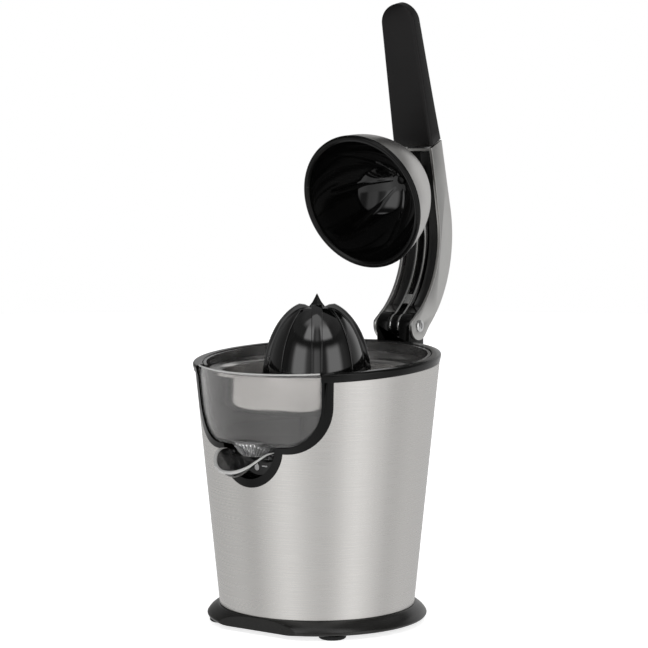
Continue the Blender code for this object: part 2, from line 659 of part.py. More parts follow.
def build_drive(root, spin_axis, output_axis, idler_axis, motor_axis):
    shaft = [(0.0, SHAFT_BOTTOM), (SHAFT_R, SHAFT_BOTTOM), (SHAFT_R, 0.1304), (0.0062, 0.1304),
             (0.0062, 0.1320), (SHAFT_R, 0.1320), (SHAFT_R, SHAFT_TOP - 0.001), (0.0030, SHAFT_TOP),
             (0.0, SHAFT_TOP)]
    shaft = make_object("drive_shaft", turned(shaft, MEDIUM), "zinc_steel", spin_axis)
    for name, low, high in (("low", 0.0990, 0.1140), ("top", 0.1640, 0.2100)):
        for side in (-1, 1):
            edge = sorted((side * SHAFT_FLAT, side * 0.01))
            flat = block((edge[0], -0.01, low), (edge[1], 0.01, high))
            cut(shaft, cutter(f"flat_{name}_{side + 1}", flat, spin_axis))

    bush = [(SHAFT_R + 0.00005, 0.0), (0.0066, 0.0), (0.0066, 0.0090), (SHAFT_R + 0.00005, 0.0090)]
    make_object("upper_bush", turned([(r, 0.1480 + z) for r, z in bush], MEDIUM), "brass", root)
    seal = [(SHAFT_R + 0.0001, 0.1582), (0.0066, 0.1578), (0.0092, 0.1578), (0.0092, 0.1592),
            (0.0066, 0.1600), (SHAFT_R + 0.0001, 0.1612)]
    make_object("shaft_seal", turned(seal, MEDIUM), "rubber", root)

    tooth_up = math.pi / 2
    outline = gear_outline(TEETH_OUT, MODULE_OUT, tooth_up, (0.0, 0.0))
    gear = make_object("output_gear", prism(outline, 0.1010, 0.1090), "gear_plastic", output_axis)
    bore = cutter("output_bore", rod((0, 0, 0.09), (0, 0, 0.12), SHAFT_R + GAP, MEDIUM), output_axis)
    keep_inside(bore, cutter("output_bore_flats",
                             block((-SHAFT_FLAT - GAP, -0.02, 0.08), (SHAFT_FLAT + GAP, 0.02, 0.13)),
                             output_axis))
    cut(gear, bore)

    idler = (0.0, IDLER_Y)
    big = gear_outline(TEETH_IDLER_BIG, MODULE_IN, MOTOR_BEARING, idler)
    gear = make_object("idler_gear", prism(big, 0.0940, 0.0995), "gear_plastic", idler_axis)
    half_pitch = math.pi / TEETH_IDLER_SMALL
    small = gear_outline(TEETH_IDLER_SMALL, MODULE_OUT, -math.pi / 2 + half_pitch, idler)
    join(gear, cutter("idler_pinion", prism(small, 0.0990, 0.1095), idler_axis))
    cut(gear, cutter("idler_bore", rod((*idler, 0.08), (*idler, 0.12), 0.0022), idler_axis))
    make_object("idler_axle", rod((*idler, 0.0908), (*idler, 0.1120), 0.0020), "zinc_steel", root)

    motor = (MOTOR_X, MOTOR_Y)
    half_pitch = math.pi / TEETH_MOTOR
    pinion = gear_outline(TEETH_MOTOR, MODULE_IN, MOTOR_BEARING - math.pi + half_pitch, motor)
    gear = make_object("motor_pinion", prism(pinion, 0.0930, 0.0995), "brass", motor_axis)
    cut(gear, cutter("pinion_bore", rod((*motor, 0.08), (*motor, 0.11), 0.0023), motor_axis))
    make_object("motor_shaft", rod((*motor, 0.0335), (*motor, 0.0990), 0.0020), "zinc_steel", motor_axis)
    rotor = [(0.0023, 0.0450), (0.0180, 0.0450), (0.0180, 0.0730), (0.0023, 0.0730)]
    make_object("motor_rotor", turned(rotor, MEDIUM, motor), "zinc_steel", motor_axis)
    stator = [(0.0188, 0.0450), (0.0300, 0.0450), (0.0300, 0.0730), (0.0188, 0.0730)]
    make_object("motor_stator", turned(stator, MEDIUM, motor), "zinc_steel", root)
    winding = [(0.0195, 0.0733), (0.0275, 0.0733), (0.0262, 0.0800), (0.0205, 0.0800)]
    make_object("motor_winding", turned(winding, MEDIUM, motor), "copper", root)
    can = [(0.0021, 0.0830), (0.0070, 0.0830), (0.0070, 0.0850), (0.0303, 0.0850), (0.0303, 0.0380),
           (0.0318, 0.0380), (0.0318, 0.0877), (0.0021, 0.0877)]
    make_object("motor_can", turned(can, MEDIUM, motor), "zinc_steel", root)
    cap = [(0.0021, 0.0352), (0.0315, 0.0352), (0.0315, 0.0377), (0.0070, 0.0377), (0.0070, 0.0410),
           (0.0021, 0.0410)]
    make_object("motor_end_cap", turned(cap, MEDIUM, motor), "zinc_steel", root)


def stadium(near_r, far_r):
    """Outline round the output gear and the idler."""
    lean = math.degrees(math.asin((near_r - far_r) / 0.036))
    return (arc((0.0, 0.0), near_r, 180 - lean, 360 + lean, 16)
            + arc((0.0, 0.036), far_r, lean, 180 - lean, 10))


def build_gearbox(root):
    tray = make_object("gearbox_tray", prism(stadium(0.0330, 0.0250), GEARBOX_Z, GEARBOX_LID - GAP),
                       "inner_plastic", root)
    cut(tray, cutter("gearbox_hollow", prism(stadium(0.0308, 0.0228), GEARBOX_Z + 0.0025, 0.13), root))
    boss = [(0.0, 0.0895), (0.0080, 0.0895), (0.0080, 0.0980), (0.0, 0.0980)]
    join(tray, cutter("shaft_boss", turned(boss, MEDIUM), root))
    bore = rod((0, 0, SHAFT_BOTTOM - 0.0030), (0, 0, 0.12), SHAFT_R + 0.00005, MEDIUM)
    cut(tray, cutter("shaft_boss_bore", bore, root))
    hole = rod((MOTOR_X, MOTOR_Y, 0.08), (MOTOR_X, MOTOR_Y, 0.092), 0.0030)
    cut(tray, cutter("motor_shaft_hole", hole, root))
    lid = make_object("gearbox_lid", prism(stadium(0.0330, 0.0250), GEARBOX_LID, GEARBOX_TOP),
                      "inner_plastic", root)
    for index, (x, y) in enumerate(((-0.024, -0.014), (0.022, -0.018), (0.0, 0.050))):
        post = rod((x, y, GEARBOX_TOP - 0.001), (x, y, DECK_TOP - DECK - GAP), 0.0040, 10)
        join(lid, cutter(f"lid_post_{index}", post, root))
    cut(lid, cutter("lid_bore", rod((0, 0, 0.10), (0, 0, 0.12), 0.0048, MEDIUM), root))


def coil(centre_r, wire_r, low, high, turns, per_turn=10, sides=5):
    """A round-wire coil, closed at both ends."""
    rings = []
    for step in range(turns * per_turn + 1):
        share = step / (turns * per_turn)
        turn = 2 * math.pi * turns * share
        z = low + wire_r + (high - low - 2 * wire_r) * share
        ring = []
        for side in range(sides):
            a = 2 * math.pi * side / sides
            r = centre_r + wire_r * math.cos(a)
            ring.append((r * math.cos(turn), r * math.sin(turn), z + wire_r * math.sin(a)))
        rings.append(ring)
    return skin(bmesh.new(), rings)


def build_press_switch(root, press_axis, lever_axis):
    collar = [(SHAFT_R + GAP, COLLAR_Z), (0.0095, COLLAR_Z), (0.0095, COLLAR_Z + COLLAR_H),
              (SHAFT_R + GAP, COLLAR_Z + COLLAR_H)]
    collar = make_object("press_collar", turned(collar, MEDIUM), "gear_plastic", press_axis)
    tab = block((0.0080, -0.0025, COLLAR_Z), (0.0180, 0.0025, COLLAR_Z + COLLAR_H))
    join(collar, cutter("collar_tab", tab, press_axis))

    make_object("return_spring", coil(0.0066, 0.0006, SPRING_FOOT, COLLAR_Z - GAP, 4), "zinc_steel",
                press_axis)

    switch = block((0.0190, -0.0032, GEARBOX_TOP + GAP), (0.0390, 0.0032, 0.1228))
    make_object("micro_switch", switch, "black_satin", root)
    reach = LEVER_X - 0.0145
    rise = math.tan(LEVER_RISE)
    profile = [(LEVER_X + 0.0008, LEVER_Z - 0.0008), (LEVER_X + 0.0008, LEVER_Z + 0.0006),
               (LEVER_X, LEVER_Z + 0.0006), (LEVER_X - reach, LEVER_Z + reach * rise + 0.0003),
               (LEVER_X - reach, LEVER_Z + reach * rise - 0.0003), (LEVER_X, LEVER_Z - 0.0008)]
    make_object("switch_lever", prism(profile, -0.0022, 0.0022, "y"), "zinc_steel", lever_axis)


# ---------------------------------------------------------------- hinge and arm
def build_hinge(root, arm_axis):
    front = PIVOT_Y - KNUCKLE_R
    rear = PIVOT_Y + KNUCKLE_R
    foot_y = shell_r(0.150) + 0.0008
    outline = arc((PIVOT_Y, PIVOT_Z), KNUCKLE_R, 0, 180, 10)
    outline += [(front, 0.1990), (0.0932, 0.1990), (0.0932, 0.1900), (shell_r(0.186) + 0.0008, 0.1860),
                (foot_y, 0.1500), (foot_y + 0.006, 0.1500), (rear - 0.008, 0.1800), (rear, 0.1960)]
    bracket = make_object("hinge_bracket", prism(outline, -ARM_X + PLATE + GAP, ARM_X - PLATE - GAP, "x"),
                          "black_satin", root)
    slot = arc((PIVOT_Y, PIVOT_Z), 0.0125, 0, 180, 8) + [(front - 0.004, 0.2000), (rear + 0.004, 0.2000)]
    cut(bracket, cutter("rail_slot", prism(slot, -RAIL_X - 0.0006, RAIL_X + 0.0006, "x"), root))
    bore = rod((-0.03, PIVOT_Y, PIVOT_Z), (0.03, PIVOT_Y, PIVOT_Z), 0.0031)
    cut(bracket, cutter("hinge_bore", bore, root))
    for index, z in enumerate((0.160, 0.175)):
        name = ("lower", "upper")[index]
        hole = rod((0.0, 0.08, z), (0.0, 0.13, z), 0.0019, 8)
        cut(bracket, cutter(f"bracket_hole_{name}", hole, root))
        head_y = foot_y + 0.006 + (z - 0.150) * (rear - 0.014 - foot_y) / 0.030
        screw = [(0.0, -0.0140), (0.0015, -0.0140), (0.0015, 0.0), (0.0032, 0.0), (0.0028, 0.0018),
                 (0.0, 0.0022)]
        make_object(f"bracket_screw_{name}", turned_about(screw, 10, (0.0, head_y + 0.0024, z), (0, 1, 0)),
                    "zinc_steel", root)

    make_object("hinge_pin", rod((-0.0150, PIVOT_Y, PIVOT_Z), (0.0150, PIVOT_Y, PIVOT_Z), 0.0028),
                "zinc_steel", arm_axis)
    screw = [(0.0, 0.0), (0.0024, 0.0), (0.0024, 0.0030), (0.0046, 0.0030), (0.0042, 0.0040),
             (0.0, 0.0044)]
    for side, sign in (("left", -1), ("right", 1)):
        make_object(f"pivot_screw_{side}",
                    turned_about(screw, SMALL, (sign * 0.0155, PIVOT_Y, PIVOT_Z), (sign, 0, 0)),
                    "zinc_steel", arm_axis)


def plate_outline():
    count = 9
    turns = [PIVOT_TURN + (ARM_LEAN - PIVOT_TURN) * i / count for i in range(1, count + 1)]
    rear = [bow_point(t, ARM_HALF) for t in turns] + [arm_point(0.325, 0.0083)]
    top = [arm_point(ARM_TOP_Z + 0.0030, ARM_TOP_HALF + 0.0006), arm_point(ARM_TOP_Z, -ARM_TOP_HALF)]
    front = [arm_point(0.325, -0.0078)] + [bow_point(t, -ARM_HALF) for t in reversed(turns)]
    end = arc((PIVOT_Y, PIVOT_Z), ARM_END_R, 160, 325, 9)
    return rear + top + front + end


def strip_outline(front, rear, start_turn, top_z, top_rear=None, count=9):
    """A strip along the arm: front and rear edges as offsets from its middle line."""
    top_rear = rear if top_rear is None else top_rear
    turns = [start_turn + (ARM_LEAN - start_turn) * i / count for i in range(count + 1)]
    rear_side = [bow_point(t, rear) for t in turns] + [arm_point(top_z, top_rear)]
    front_side = [arm_point(top_z, front)] + [bow_point(t, front) for t in reversed(turns)]
    return rear_side + front_side


def build_arm(arm_axis):
    for side, sign in (("left", -1), ("right", 1)):
        low, high = sorted((sign * (ARM_X - PLATE), sign * ARM_X))
        plate = make_object(f"arm_plate_{side}", prism(plate_outline(), low, high, "x"), "satin_metal",
                            arm_axis)
        hole = rod((sign * 0.010, PIVOT_Y, PIVOT_Z), (sign * 0.03, PIVOT_Y, PIVOT_Z), 0.0027)
        cut(plate, cutter(f"plate_hole_{side}", hole, arm_axis))

    inside = ARM_X - PLATE - GAP
    start = PIVOT_TURN + 0.0180 / BOW_R
    channel = strip_outline(CHANNEL_FRONT, ARM_HALF - 0.0010, start, CHANNEL_TOP_Z, ARM_TOP_HALF - 0.0006)
    channel = make_object("arm_channel", prism(channel, -inside, inside, "x"), "black_satin", arm_axis)
    groove = strip_outline(-0.020, ARM_HALF - 0.0062, start - 0.1, 0.3700, 0.0012)
    cut(channel, cutter("channel_groove", prism(groove, -GROOVE_X, GROOVE_X, "x"), arm_axis))

    rail = strip_outline(-ARM_HALF + 0.0004, ARM_HALF - 0.0066, PIVOT_TURN + 0.04, 0.3120)
    rail_end = arc((PIVOT_Y, PIVOT_Z), 0.0092, 0, 360, 16)[:-1]
    rail = make_object("arm_rail", prism(rail, -RAIL_X, RAIL_X, "x"), "steel_body", arm_axis)
    join(rail, cutter("rail_end", prism(rail_end, -RAIL_X, RAIL_X, "x"), arm_axis))
    inner = RAIL_X - RAIL_SHEET
    trough = strip_outline(-0.020, ARM_HALF - 0.0082, PIVOT_TURN + 0.10, 0.3700)
    mouth = [(PIVOT_Y - 0.020, PIVOT_Z - 0.020), (PIVOT_Y - 0.0042, PIVOT_Z - 0.020),
             (PIVOT_Y - 0.0042, PIVOT_Z + 0.004), (PIVOT_Y + 0.004, PIVOT_Z + 0.012),
             (PIVOT_Y - 0.010, PIVOT_Z + 0.016), (PIVOT_Y - 0.020, PIVOT_Z + 0.010)]
    cut(rail, cutter("rail_trough", prism(trough, -inner, inner, "x"), arm_axis),
        cutter("rail_mouth", prism(mouth, -inner, inner, "x"), arm_axis),
        cutter("rail_bore", rod((-0.02, PIVOT_Y, PIVOT_Z), (0.02, PIVOT_Y, PIVOT_Z), 0.0030), arm_axis))

    rivet_turn = PIVOT_TURN + 0.0275 / BOW_R
    y, z = bow_point(rivet_turn, -0.0060)
    make_object("rail_spacer", rod((-inner + GAP, y, z), (inner - GAP, y, z), 0.0024), "zinc_steel",
                arm_axis)


def grip_ring(z_along, half_w, half_d, low_front=0.0):
    """A cross-section of the grip: flat front, broad side facets, rounded rear."""
    outline = [(-half_w, -half_d * 0.70), (-half_w * 0.86, -half_d), (half_w * 0.86, -half_d),
               (half_w, -half_d * 0.70), (half_w * 0.98, half_d * 0.45), (half_w * 0.66, half_d),
               (-half_w * 0.66, half_d), (-half_w * 0.98, half_d * 0.45)]
    ring = []
    for x, offset in outline:
        y, z = arm_point(z_along, offset)
        slant = low_front * (offset + half_d) / (2 * half_d)
        lift_y, lift_z = -slant * math.sin(ARM_LEAN), slant * math.cos(ARM_LEAN)
        ring.append((x, y + lift_y, z + lift_z))
    return ring


def build_grip(arm_axis):
    rings = [grip_ring(ARM_TOP_Z + 0.0009, GRIP_HALF_W, GRIP_HALF_D + 0.0003, 0.0030)]
    straight_top = GRIP_TOP_Z - 0.0150
    rings.append(grip_ring(straight_top, GRIP_TOP_HALF_W, GRIP_HALF_D))
    for turn in (25, 48, 66, 80):
        rise = math.sin(math.radians(turn))
        shrink = math.cos(math.radians(turn))
        rings.append(grip_ring(straight_top + 0.0148 * rise, GRIP_TOP_HALF_W * shrink,
                               GRIP_HALF_D * (0.45 + 0.55 * shrink)))
    grip = make_object("handle_grip", skin(bmesh.new(), rings), "grip_black", arm_axis)

    def bar(half_x, half_y, low, high, name, slot):
        rings = []
        for z in (low, high):
            ring = []
            for x, offset in ((-half_x, -half_y), (half_x, -half_y), (half_x, half_y), (-half_x, half_y)):
                y, point_z = arm_point(z, offset)
                ring.append((x, y, point_z))
            rings.append(ring)
        return make_object(name, skin(bmesh.new(), rings), slot, arm_axis)

    cut(grip, bar(0.0083, 0.0023, 0.330, CORE_TOP_Z + GAP, "grip_slot", None))
    bar(0.0080, 0.0020, CORE_LOW_Z, CORE_TOP_Z, "handle_core", "zinc_steel")
    collar = bar(ARM_X - PLATE - GAP, ARM_TOP_HALF - 0.0002, 0.3503, 0.3522, "handle_collar",
                 "satin_metal")
    cut(collar, bar(0.0083, 0.0023, 0.330, CORE_TOP_Z + GAP, "collar_slot", None))


# ---------------------------------------------------------------- press cup
CUP_AXIS = Vector((0.0, math.cos(CUP_TILT), math.sin(CUP_TILT)))
CUP_RIM = Vector((0.0, CUP_Y, CUP_Z))


def cup_radius(depth):
    share = min(1.0, depth / CUP_DEPTH)
    return (CUP_R - 0.0007) * (1 - share ** CUP_POWER) ** CUP_ROOT


def cup_wall(outer_gap, thickness, start, hole_r, count=7):
    """Profile of a cup-shaped wall: a gap inside the outer shape, open at both ends."""
    outside = []
    inside = []
    for step in range(count + 1):
        depth = start + (CUP_DEPTH - start) * math.sin(math.pi / 2 * step / count) ** 0.9
        radius = max(cup_radius(depth), 0.0)
        slope = (cup_radius(max(0.0, depth - 0.0005)) - radius) / 0.0005
        norm = math.hypot(1.0, slope)
        push = Vector((1.0 / norm, slope / norm))
        for wall, offset in ((outside, outer_gap), (inside, outer_gap + thickness)):
            wall.append((radius - push.x * offset, depth - push.y * offset))
    outside = [(r, z) for r, z in outside if r > hole_r + 0.001]
    inside = [(r, z) for r, z in inside if r > hole_r + 0.001]
    apex = CUP_DEPTH - outer_gap
    outside.append((hole_r, apex))
    inside.append((hole_r, apex - thickness))
    return outside + list(reversed(inside))


def build_cup(arm_axis, cup_axis):
    shell = cup_wall(0.0, CUP_SHEET, 0.0020, HUB_R + GAP)
    make_object("cup_shell", turned_about(shell, CUP_SIDES, CUP_RIM, CUP_AXIS), "satin_metal", cup_axis)
    liner = cup_wall(CUP_SHEET + GAP, LINER, 0.0034, 0.0030)
    make_object("cup_liner", turned_about(liner, CUP_SIDES, CUP_RIM, CUP_AXIS), "black_gloss", cup_axis)
    ring = [(0.0478, 0.0030), (0.0478, -0.0004), (0.0496, -0.0014), (CUP_R - 0.0012, -0.0014),
            (CUP_R, -0.0004), (CUP_R, 0.0016), (0.0500, 0.0016), (0.0492, 0.0030)]
    make_object("cup_seal_ring", turned_about(ring, CUP_SIDES, CUP_RIM, CUP_AXIS), "black_satin",
                cup_axis)

    back = CUP_DEPTH - CUP_SHEET
    hub = [(0.0, back + 0.0002), (HUB_R, back + 0.0002), (HUB_R, CUP_DEPTH + 0.0004),
           (0.0085, CUP_DEPTH + 0.0004), (0.0085, CUP_DEPTH + 0.0026), (0.0, CUP_DEPTH + 0.0026)]
    hub = make_object("cup_hub", turned_about(hub, MEDIUM, CUP_RIM, CUP_AXIS), "black_satin", cup_axis)
    pin_y, pin_z = cup_pin_place()
    tongue = rod((-0.0045, pin_y, pin_z), (0.0045, pin_y, pin_z), 0.0046, MEDIUM)
    tongue = cutter("hub_tongue", tongue, cup_axis)
    neck_middle = CUP_RIM + CUP_AXIS * (CUP_DEPTH + 0.0048)
    neck = block((-0.0045, -0.0040, -0.0040), (0.0045, 0.0045, 0.0040))
    neck.transform(Matrix.Translation(neck_middle) @ Matrix.Rotation(CUP_TILT, 4, "X"))
    join(hub, cutter("hub_neck", neck, cup_axis), tongue)
    bore = rod((-0.01, pin_y, pin_z), (0.01, pin_y, pin_z), 0.0019)
    cut(hub, cutter("hub_bore", bore, cup_axis))

    screw = [(0.0, -0.0042), (0.0030, -0.0038), (0.0036, -0.0023), (0.0013, -0.0023), (0.0013, 0.0),
             (0.0, 0.0)]
    shank_end = CUP_RIM + CUP_AXIS * (back - 0.0002)
    make_object("liner_screw", turned_about(screw, SMALL, shank_end, CUP_AXIS), "zinc_steel", cup_axis)


def cup_pin_place():
    place = CUP_RIM + CUP_AXIS * CUP_PIN_BACK
    return place.y, place.z


def build_carrier(arm_axis):
    """Clevis on the arm that holds the press cup on its own pin."""
    pin_y, pin_z = cup_pin_place()
    back = CHANNEL_FRONT - GAP
    wall_y = arm_point(pin_z, back)[0]
    outline = arc((pin_y, pin_z), 0.0050, 100, 260, 8)
    outline += [arm_point(pin_z - 0.0090, back), arm_point(pin_z + 0.0090, back)]
    carrier = make_object("cup_carrier", prism(outline, -0.0095, 0.0095, "x"), "black_satin", arm_axis)
    gap = block((-0.0048, pin_y - 0.010, pin_z - 0.020), (0.0048, wall_y - 0.0022, pin_z + 0.020))
    cut(carrier, cutter("carrier_gap", gap, arm_axis))
    bore = rod((-0.012, pin_y, pin_z), (0.012, pin_y, pin_z), 0.0019)
    cut(carrier, cutter("carrier_bore", bore, arm_axis))
    make_object("cup_pin", rod((-0.0105, pin_y, pin_z), (0.0105, pin_y, pin_z), 0.0016), "zinc_steel",
                arm_axis)


def main():
    clear_scene()
    root = make_axis("body_frame", (0.0, 0.0, 0.0))
    root.location.y = -MID_Y
    press_axis = make_axis("press_axis", (0.0, 0.0, COLLAR_Z), root)
    spin_axis = make_axis("spindle_axis", (0.0, 0.0, SHAFT_BOTTOM), press_axis)
    reamer_axis = make_axis("reamer_axis", (0.0, 0.0, REAMER_BASE), spin_axis)
    output_axis = make_axis("output_axis", (0.0, 0.0, 0.105), root)
    idler_axis = make_axis("idler_axis", (0.0, IDLER_Y, 0.100), root)
    motor_axis = make_axis("motor_axis", (MOTOR_X, MOTOR_Y, 0.060), root)
    lever_axis = make_axis("switch_axis", (LEVER_X, 0.0, LEVER_Z), root)
    spout_axis = make_axis("spout_axis", (0.0, SPOUT_PIN_Y, SPOUT_PIN_Z), root)
    arm_axis = make_axis("arm_hinge_axis", (0.0, PIVOT_Y, PIVOT_Z), root)
    cup_axis = make_axis("cup_pin_axis", (0.0, *cup_pin_place()), arm_axis)

    build_base(root)
    build_shell(root)
    build_top_frame(root)
    build_barrel(root)
    build_bowl(root)
    build_strainer(root)
    build_spout(root, spout_axis)
    build_reamer(reamer_axis)
    build_drive(root, spin_axis, output_axis, idler_axis, motor_axis)
    build_gearbox(root)
    build_press_switch(root, press_axis, lever_axis)
    build_hinge(root, arm_axis)
    build_arm(arm_axis)
    build_grip(arm_axis)
    build_cup(arm_axis, cup_axis)
    build_carrier(arm_axis)


main()
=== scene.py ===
"""Looks of the lever-arm citrus press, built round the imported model.

Shapes are drawn in the body's own frame, whose Z axis is the reamer's axis, and shifted into the
row frame when they become objects.
"""
import json
import math

import bmesh
import bpy
from mathutils import Matrix, Vector

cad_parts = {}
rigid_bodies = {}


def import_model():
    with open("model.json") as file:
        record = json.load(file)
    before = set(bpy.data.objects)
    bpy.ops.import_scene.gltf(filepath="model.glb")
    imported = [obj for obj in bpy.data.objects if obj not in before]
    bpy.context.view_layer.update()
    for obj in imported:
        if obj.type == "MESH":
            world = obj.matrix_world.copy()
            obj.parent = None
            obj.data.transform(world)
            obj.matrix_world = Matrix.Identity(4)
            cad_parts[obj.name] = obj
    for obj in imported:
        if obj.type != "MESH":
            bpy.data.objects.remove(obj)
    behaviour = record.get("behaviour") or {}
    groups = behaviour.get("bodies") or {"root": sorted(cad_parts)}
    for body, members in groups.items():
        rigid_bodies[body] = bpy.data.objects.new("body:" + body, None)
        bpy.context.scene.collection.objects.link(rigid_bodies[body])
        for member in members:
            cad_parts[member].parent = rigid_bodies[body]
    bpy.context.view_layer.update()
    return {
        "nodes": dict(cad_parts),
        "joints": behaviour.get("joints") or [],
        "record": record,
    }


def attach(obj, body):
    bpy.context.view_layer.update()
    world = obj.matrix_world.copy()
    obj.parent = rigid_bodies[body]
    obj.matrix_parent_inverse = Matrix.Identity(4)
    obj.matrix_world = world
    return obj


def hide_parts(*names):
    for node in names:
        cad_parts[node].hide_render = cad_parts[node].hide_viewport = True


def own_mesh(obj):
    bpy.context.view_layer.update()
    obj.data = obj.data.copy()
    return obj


for stale in list(bpy.data.objects):
    bpy.data.objects.remove(stale, do_unlink=True)

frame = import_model()
JOINTS = {joint["name"]: joint for joint in frame["joints"]}
AXIS_Y = JOINTS["spindle_spin"]["pos_m"][1]      # the reamer's axis in the row frame
SHIFT = Vector((0.0, AXIS_Y, 0.0))

# ---------------------------------------------------------------- sizes, in metres
GAP = 0.0003
FINE = 192                # sides of the big turned pieces
MEDIUM = 72
SMALL = 36

SHELL_BOTTOM = 0.0133
SHELL_R = 0.0729
SHELL_SLOPE = 0.1011
SHELL_SHEET = 0.0008
RIM_Z = 0.197             # rim's top plane over the reamer's axis
RIM_TILT = 0.063          # its rise towards the rear
RIM_BAND = 0.006
RIM_OUTER = 0.0923
RIM_INNER = 0.0849

BASE_BOTTOM = 0.0032
BASE_TOP = 0.013
BASE_R = 0.0824
BASE_FLAT_Y = -0.0743
BASE_INNER = 0.0695
FOOT_R = 0.010
FOOT_H = 0.0029
FOOT_X = 0.050
FOOT_Y = 0.050

WINDOW_ANGLE = math.radians(38.4)
WINDOW_FLOOR = 0.1391
WINDOW_CORNER = 0.030
BORDER_ANGLE = math.radians(43.4)
BORDER_FLOOR = 0.1350
BORDER_CORNER = 0.034
RECESS_R = 0.024
RECESS_BORDER_R = 0.030
BORDER_DEPTH = 0.0032
BORDER_PROUD = 0.0004
RECESS_DEPTH = 0.0085
PANEL_SINK = 0.0066

BOWL_R = 0.0844
BOWL_FOOT_R = 0.0790
BOWL_BOTTOM = 0.1392
BOWL_WALL = 0.0022
BOWL_FLOOR = 0.1416
COLUMN_TOP = 0.1600
BOWL_BEAD = 0.0006
COLUMN_OUTER = 0.0118
COLUMN_BORE = 0.0096
STRAINER_TOP = 0.1890
STRAINER_R = 0.0800
BASKET_R = 0.0712
BASKET_BOTTOM = 0.1592
BASKET_CORNER = 0.008
SHEET = 0.0009

SPRING_R = 0.0066
SPRING_WIRE = 0.0006
SPRING_TURNS = 4
SPRING_FOOT = 0.1156
SPRING_TOP = 0.1273

REAMER_BASE = 0.1650
REAMER_R = 0.0410
REAMER_SHOULDER = 0.2360
REAMER_TIP = 0.2435
FIN_HALF = 0.0040
SHOULDER_R = 0.0130
FIN_CREST_Z = 0.2372      # where the fins' curve would close over if it had no shoulders
FIN_CREST_R = 0.0085
FIN_TURN = math.radians(-54.0)
DOME_TOP = 0.2336
DOME_R = 0.0378
DOME_CROWN_R = 0.0105

PIVOT_Y = 0.1108
PIVOT_Z = 0.2128
BOW_Y = 0.0665
BOW_Z = 0.2818
BOW_R = 0.0820
ARM_LEAN = math.radians(13.2)
ARM_HALF = 0.0088
ARM_TOP_HALF = 0.0073
ARM_END_R = 0.0110
ARM_X = 0.0182
ARM_STEPS = 40            # steps of the side outlines along the bow
PLATE = 0.0025
ARM_TOP_Z = 0.3525
CHANNEL_TOP_Z = 0.3488
GRIP_TOP_Z = 0.4630
GRIP_HALF_W = 0.0183
GRIP_TOP_HALF_W = 0.0152
GRIP_HALF_D = 0.0070
KNUCKLE_R = 0.0100
RAIL_X = 0.0046
RAIL_SHEET = 0.0016
SPACER_LOW = 0.0172       # the cross spacer's ends, along the arm from the pivot
SPACER_HIGH = 0.0275
GROOVE_X = 0.0052
CHANNEL_FRONT = -0.0052
PIVOT_TURN = math.atan2(PIVOT_Z - BOW_Z, PIVOT_Y - BOW_Y)

CUP_TILT = math.radians(16.3)
CUP_AXIS = Vector((0.0, math.cos(CUP_TILT), math.sin(CUP_TILT)))
CUP_RIM = Vector((0.0, 0.0570, 0.3100))
CUP_R = 0.0526
CUP_DEPTH = 0.0610
CUP_POWER = 1.66
CUP_ROOT = 0.48
CUP_SHEET = 0.0012
LINER = 0.0016
HUB_R = 0.0060
CUP_PIN_BACK = 0.0700
CUP_PIN = CUP_RIM + CUP_AXIS * CUP_PIN_BACK

SPOUT_R = 0.0225
SPOUT_Y = -0.0862
SPOUT_WALL = 0.0014
SPOUT_TOP = 0.1357
SPOUT_PIN_Y = -0.0815
SPOUT_PIN_Z = 0.1315
SPOUT_FRONT = SPOUT_Y - SPOUT_R
SCOOP_DEPTH = 0.0046
SCOOP_MIDDLE_Z = 0.1262
SCOOP_FLOOR_R = 0.0150
SCOOP_CROWN = 12          # place of the lip's crest in the scoop's profile
LIP_FRONT_Z = 0.1231
LIP_BEAD = 0.0013
FUNNEL_X = 0.0210         # half width of the outlet funnel at its top
FUNNEL_LOW_X = 0.0095
FUNNEL_Y = -0.0755
FUNNEL_HALF_Y = 0.0125
FUNNEL_LOW_Y = 0.0085
FUNNEL_BOTTOM = 0.1312
FUNNEL_TOP = 0.1422
FLUTE_DEPTH = 0.0018

HINGE_BORE_R = 0.0030
CUP_PIN_BORE_R = 0.0019

CAMERA_PLACE = (0.95807, AXIS_Y - 1.31553, 0.35366)
CAMERA_DROP = math.radians(4.664)      # how far the camera looks down
CAMERA_TURN = math.radians(35.882)
CAMERA_LENS = 122.2                    # millimetres, for a 36 mm sensor
FLOOR_GLOW = 0.75


# ---------------------------------------------------------------- material helpers
def new_material(name):
    material = bpy.data.materials.new(name)
    material.use_nodes = True
    return material, material.node_tree, material.node_tree.nodes["Principled BSDF"]


def grain(tree, scale, detail=3.0, stretch=(1, 1, 1)):
    """Noise in the object's own coordinates, 0 to 1."""
    coords = tree.nodes.new("ShaderNodeTexCoord")
    mapping = tree.nodes.new("ShaderNodeMapping")
    mapping.inputs["Scale"].default_value = stretch
    texture = tree.nodes.new("ShaderNodeTexNoise")
    texture.inputs["Scale"].default_value = scale
    texture.inputs["Detail"].default_value = detail
    tree.links.new(coords.outputs["Object"], mapping.inputs["Vector"])
    tree.links.new(mapping.outputs["Vector"], texture.inputs["Vector"])
    return texture.outputs["Fac"]


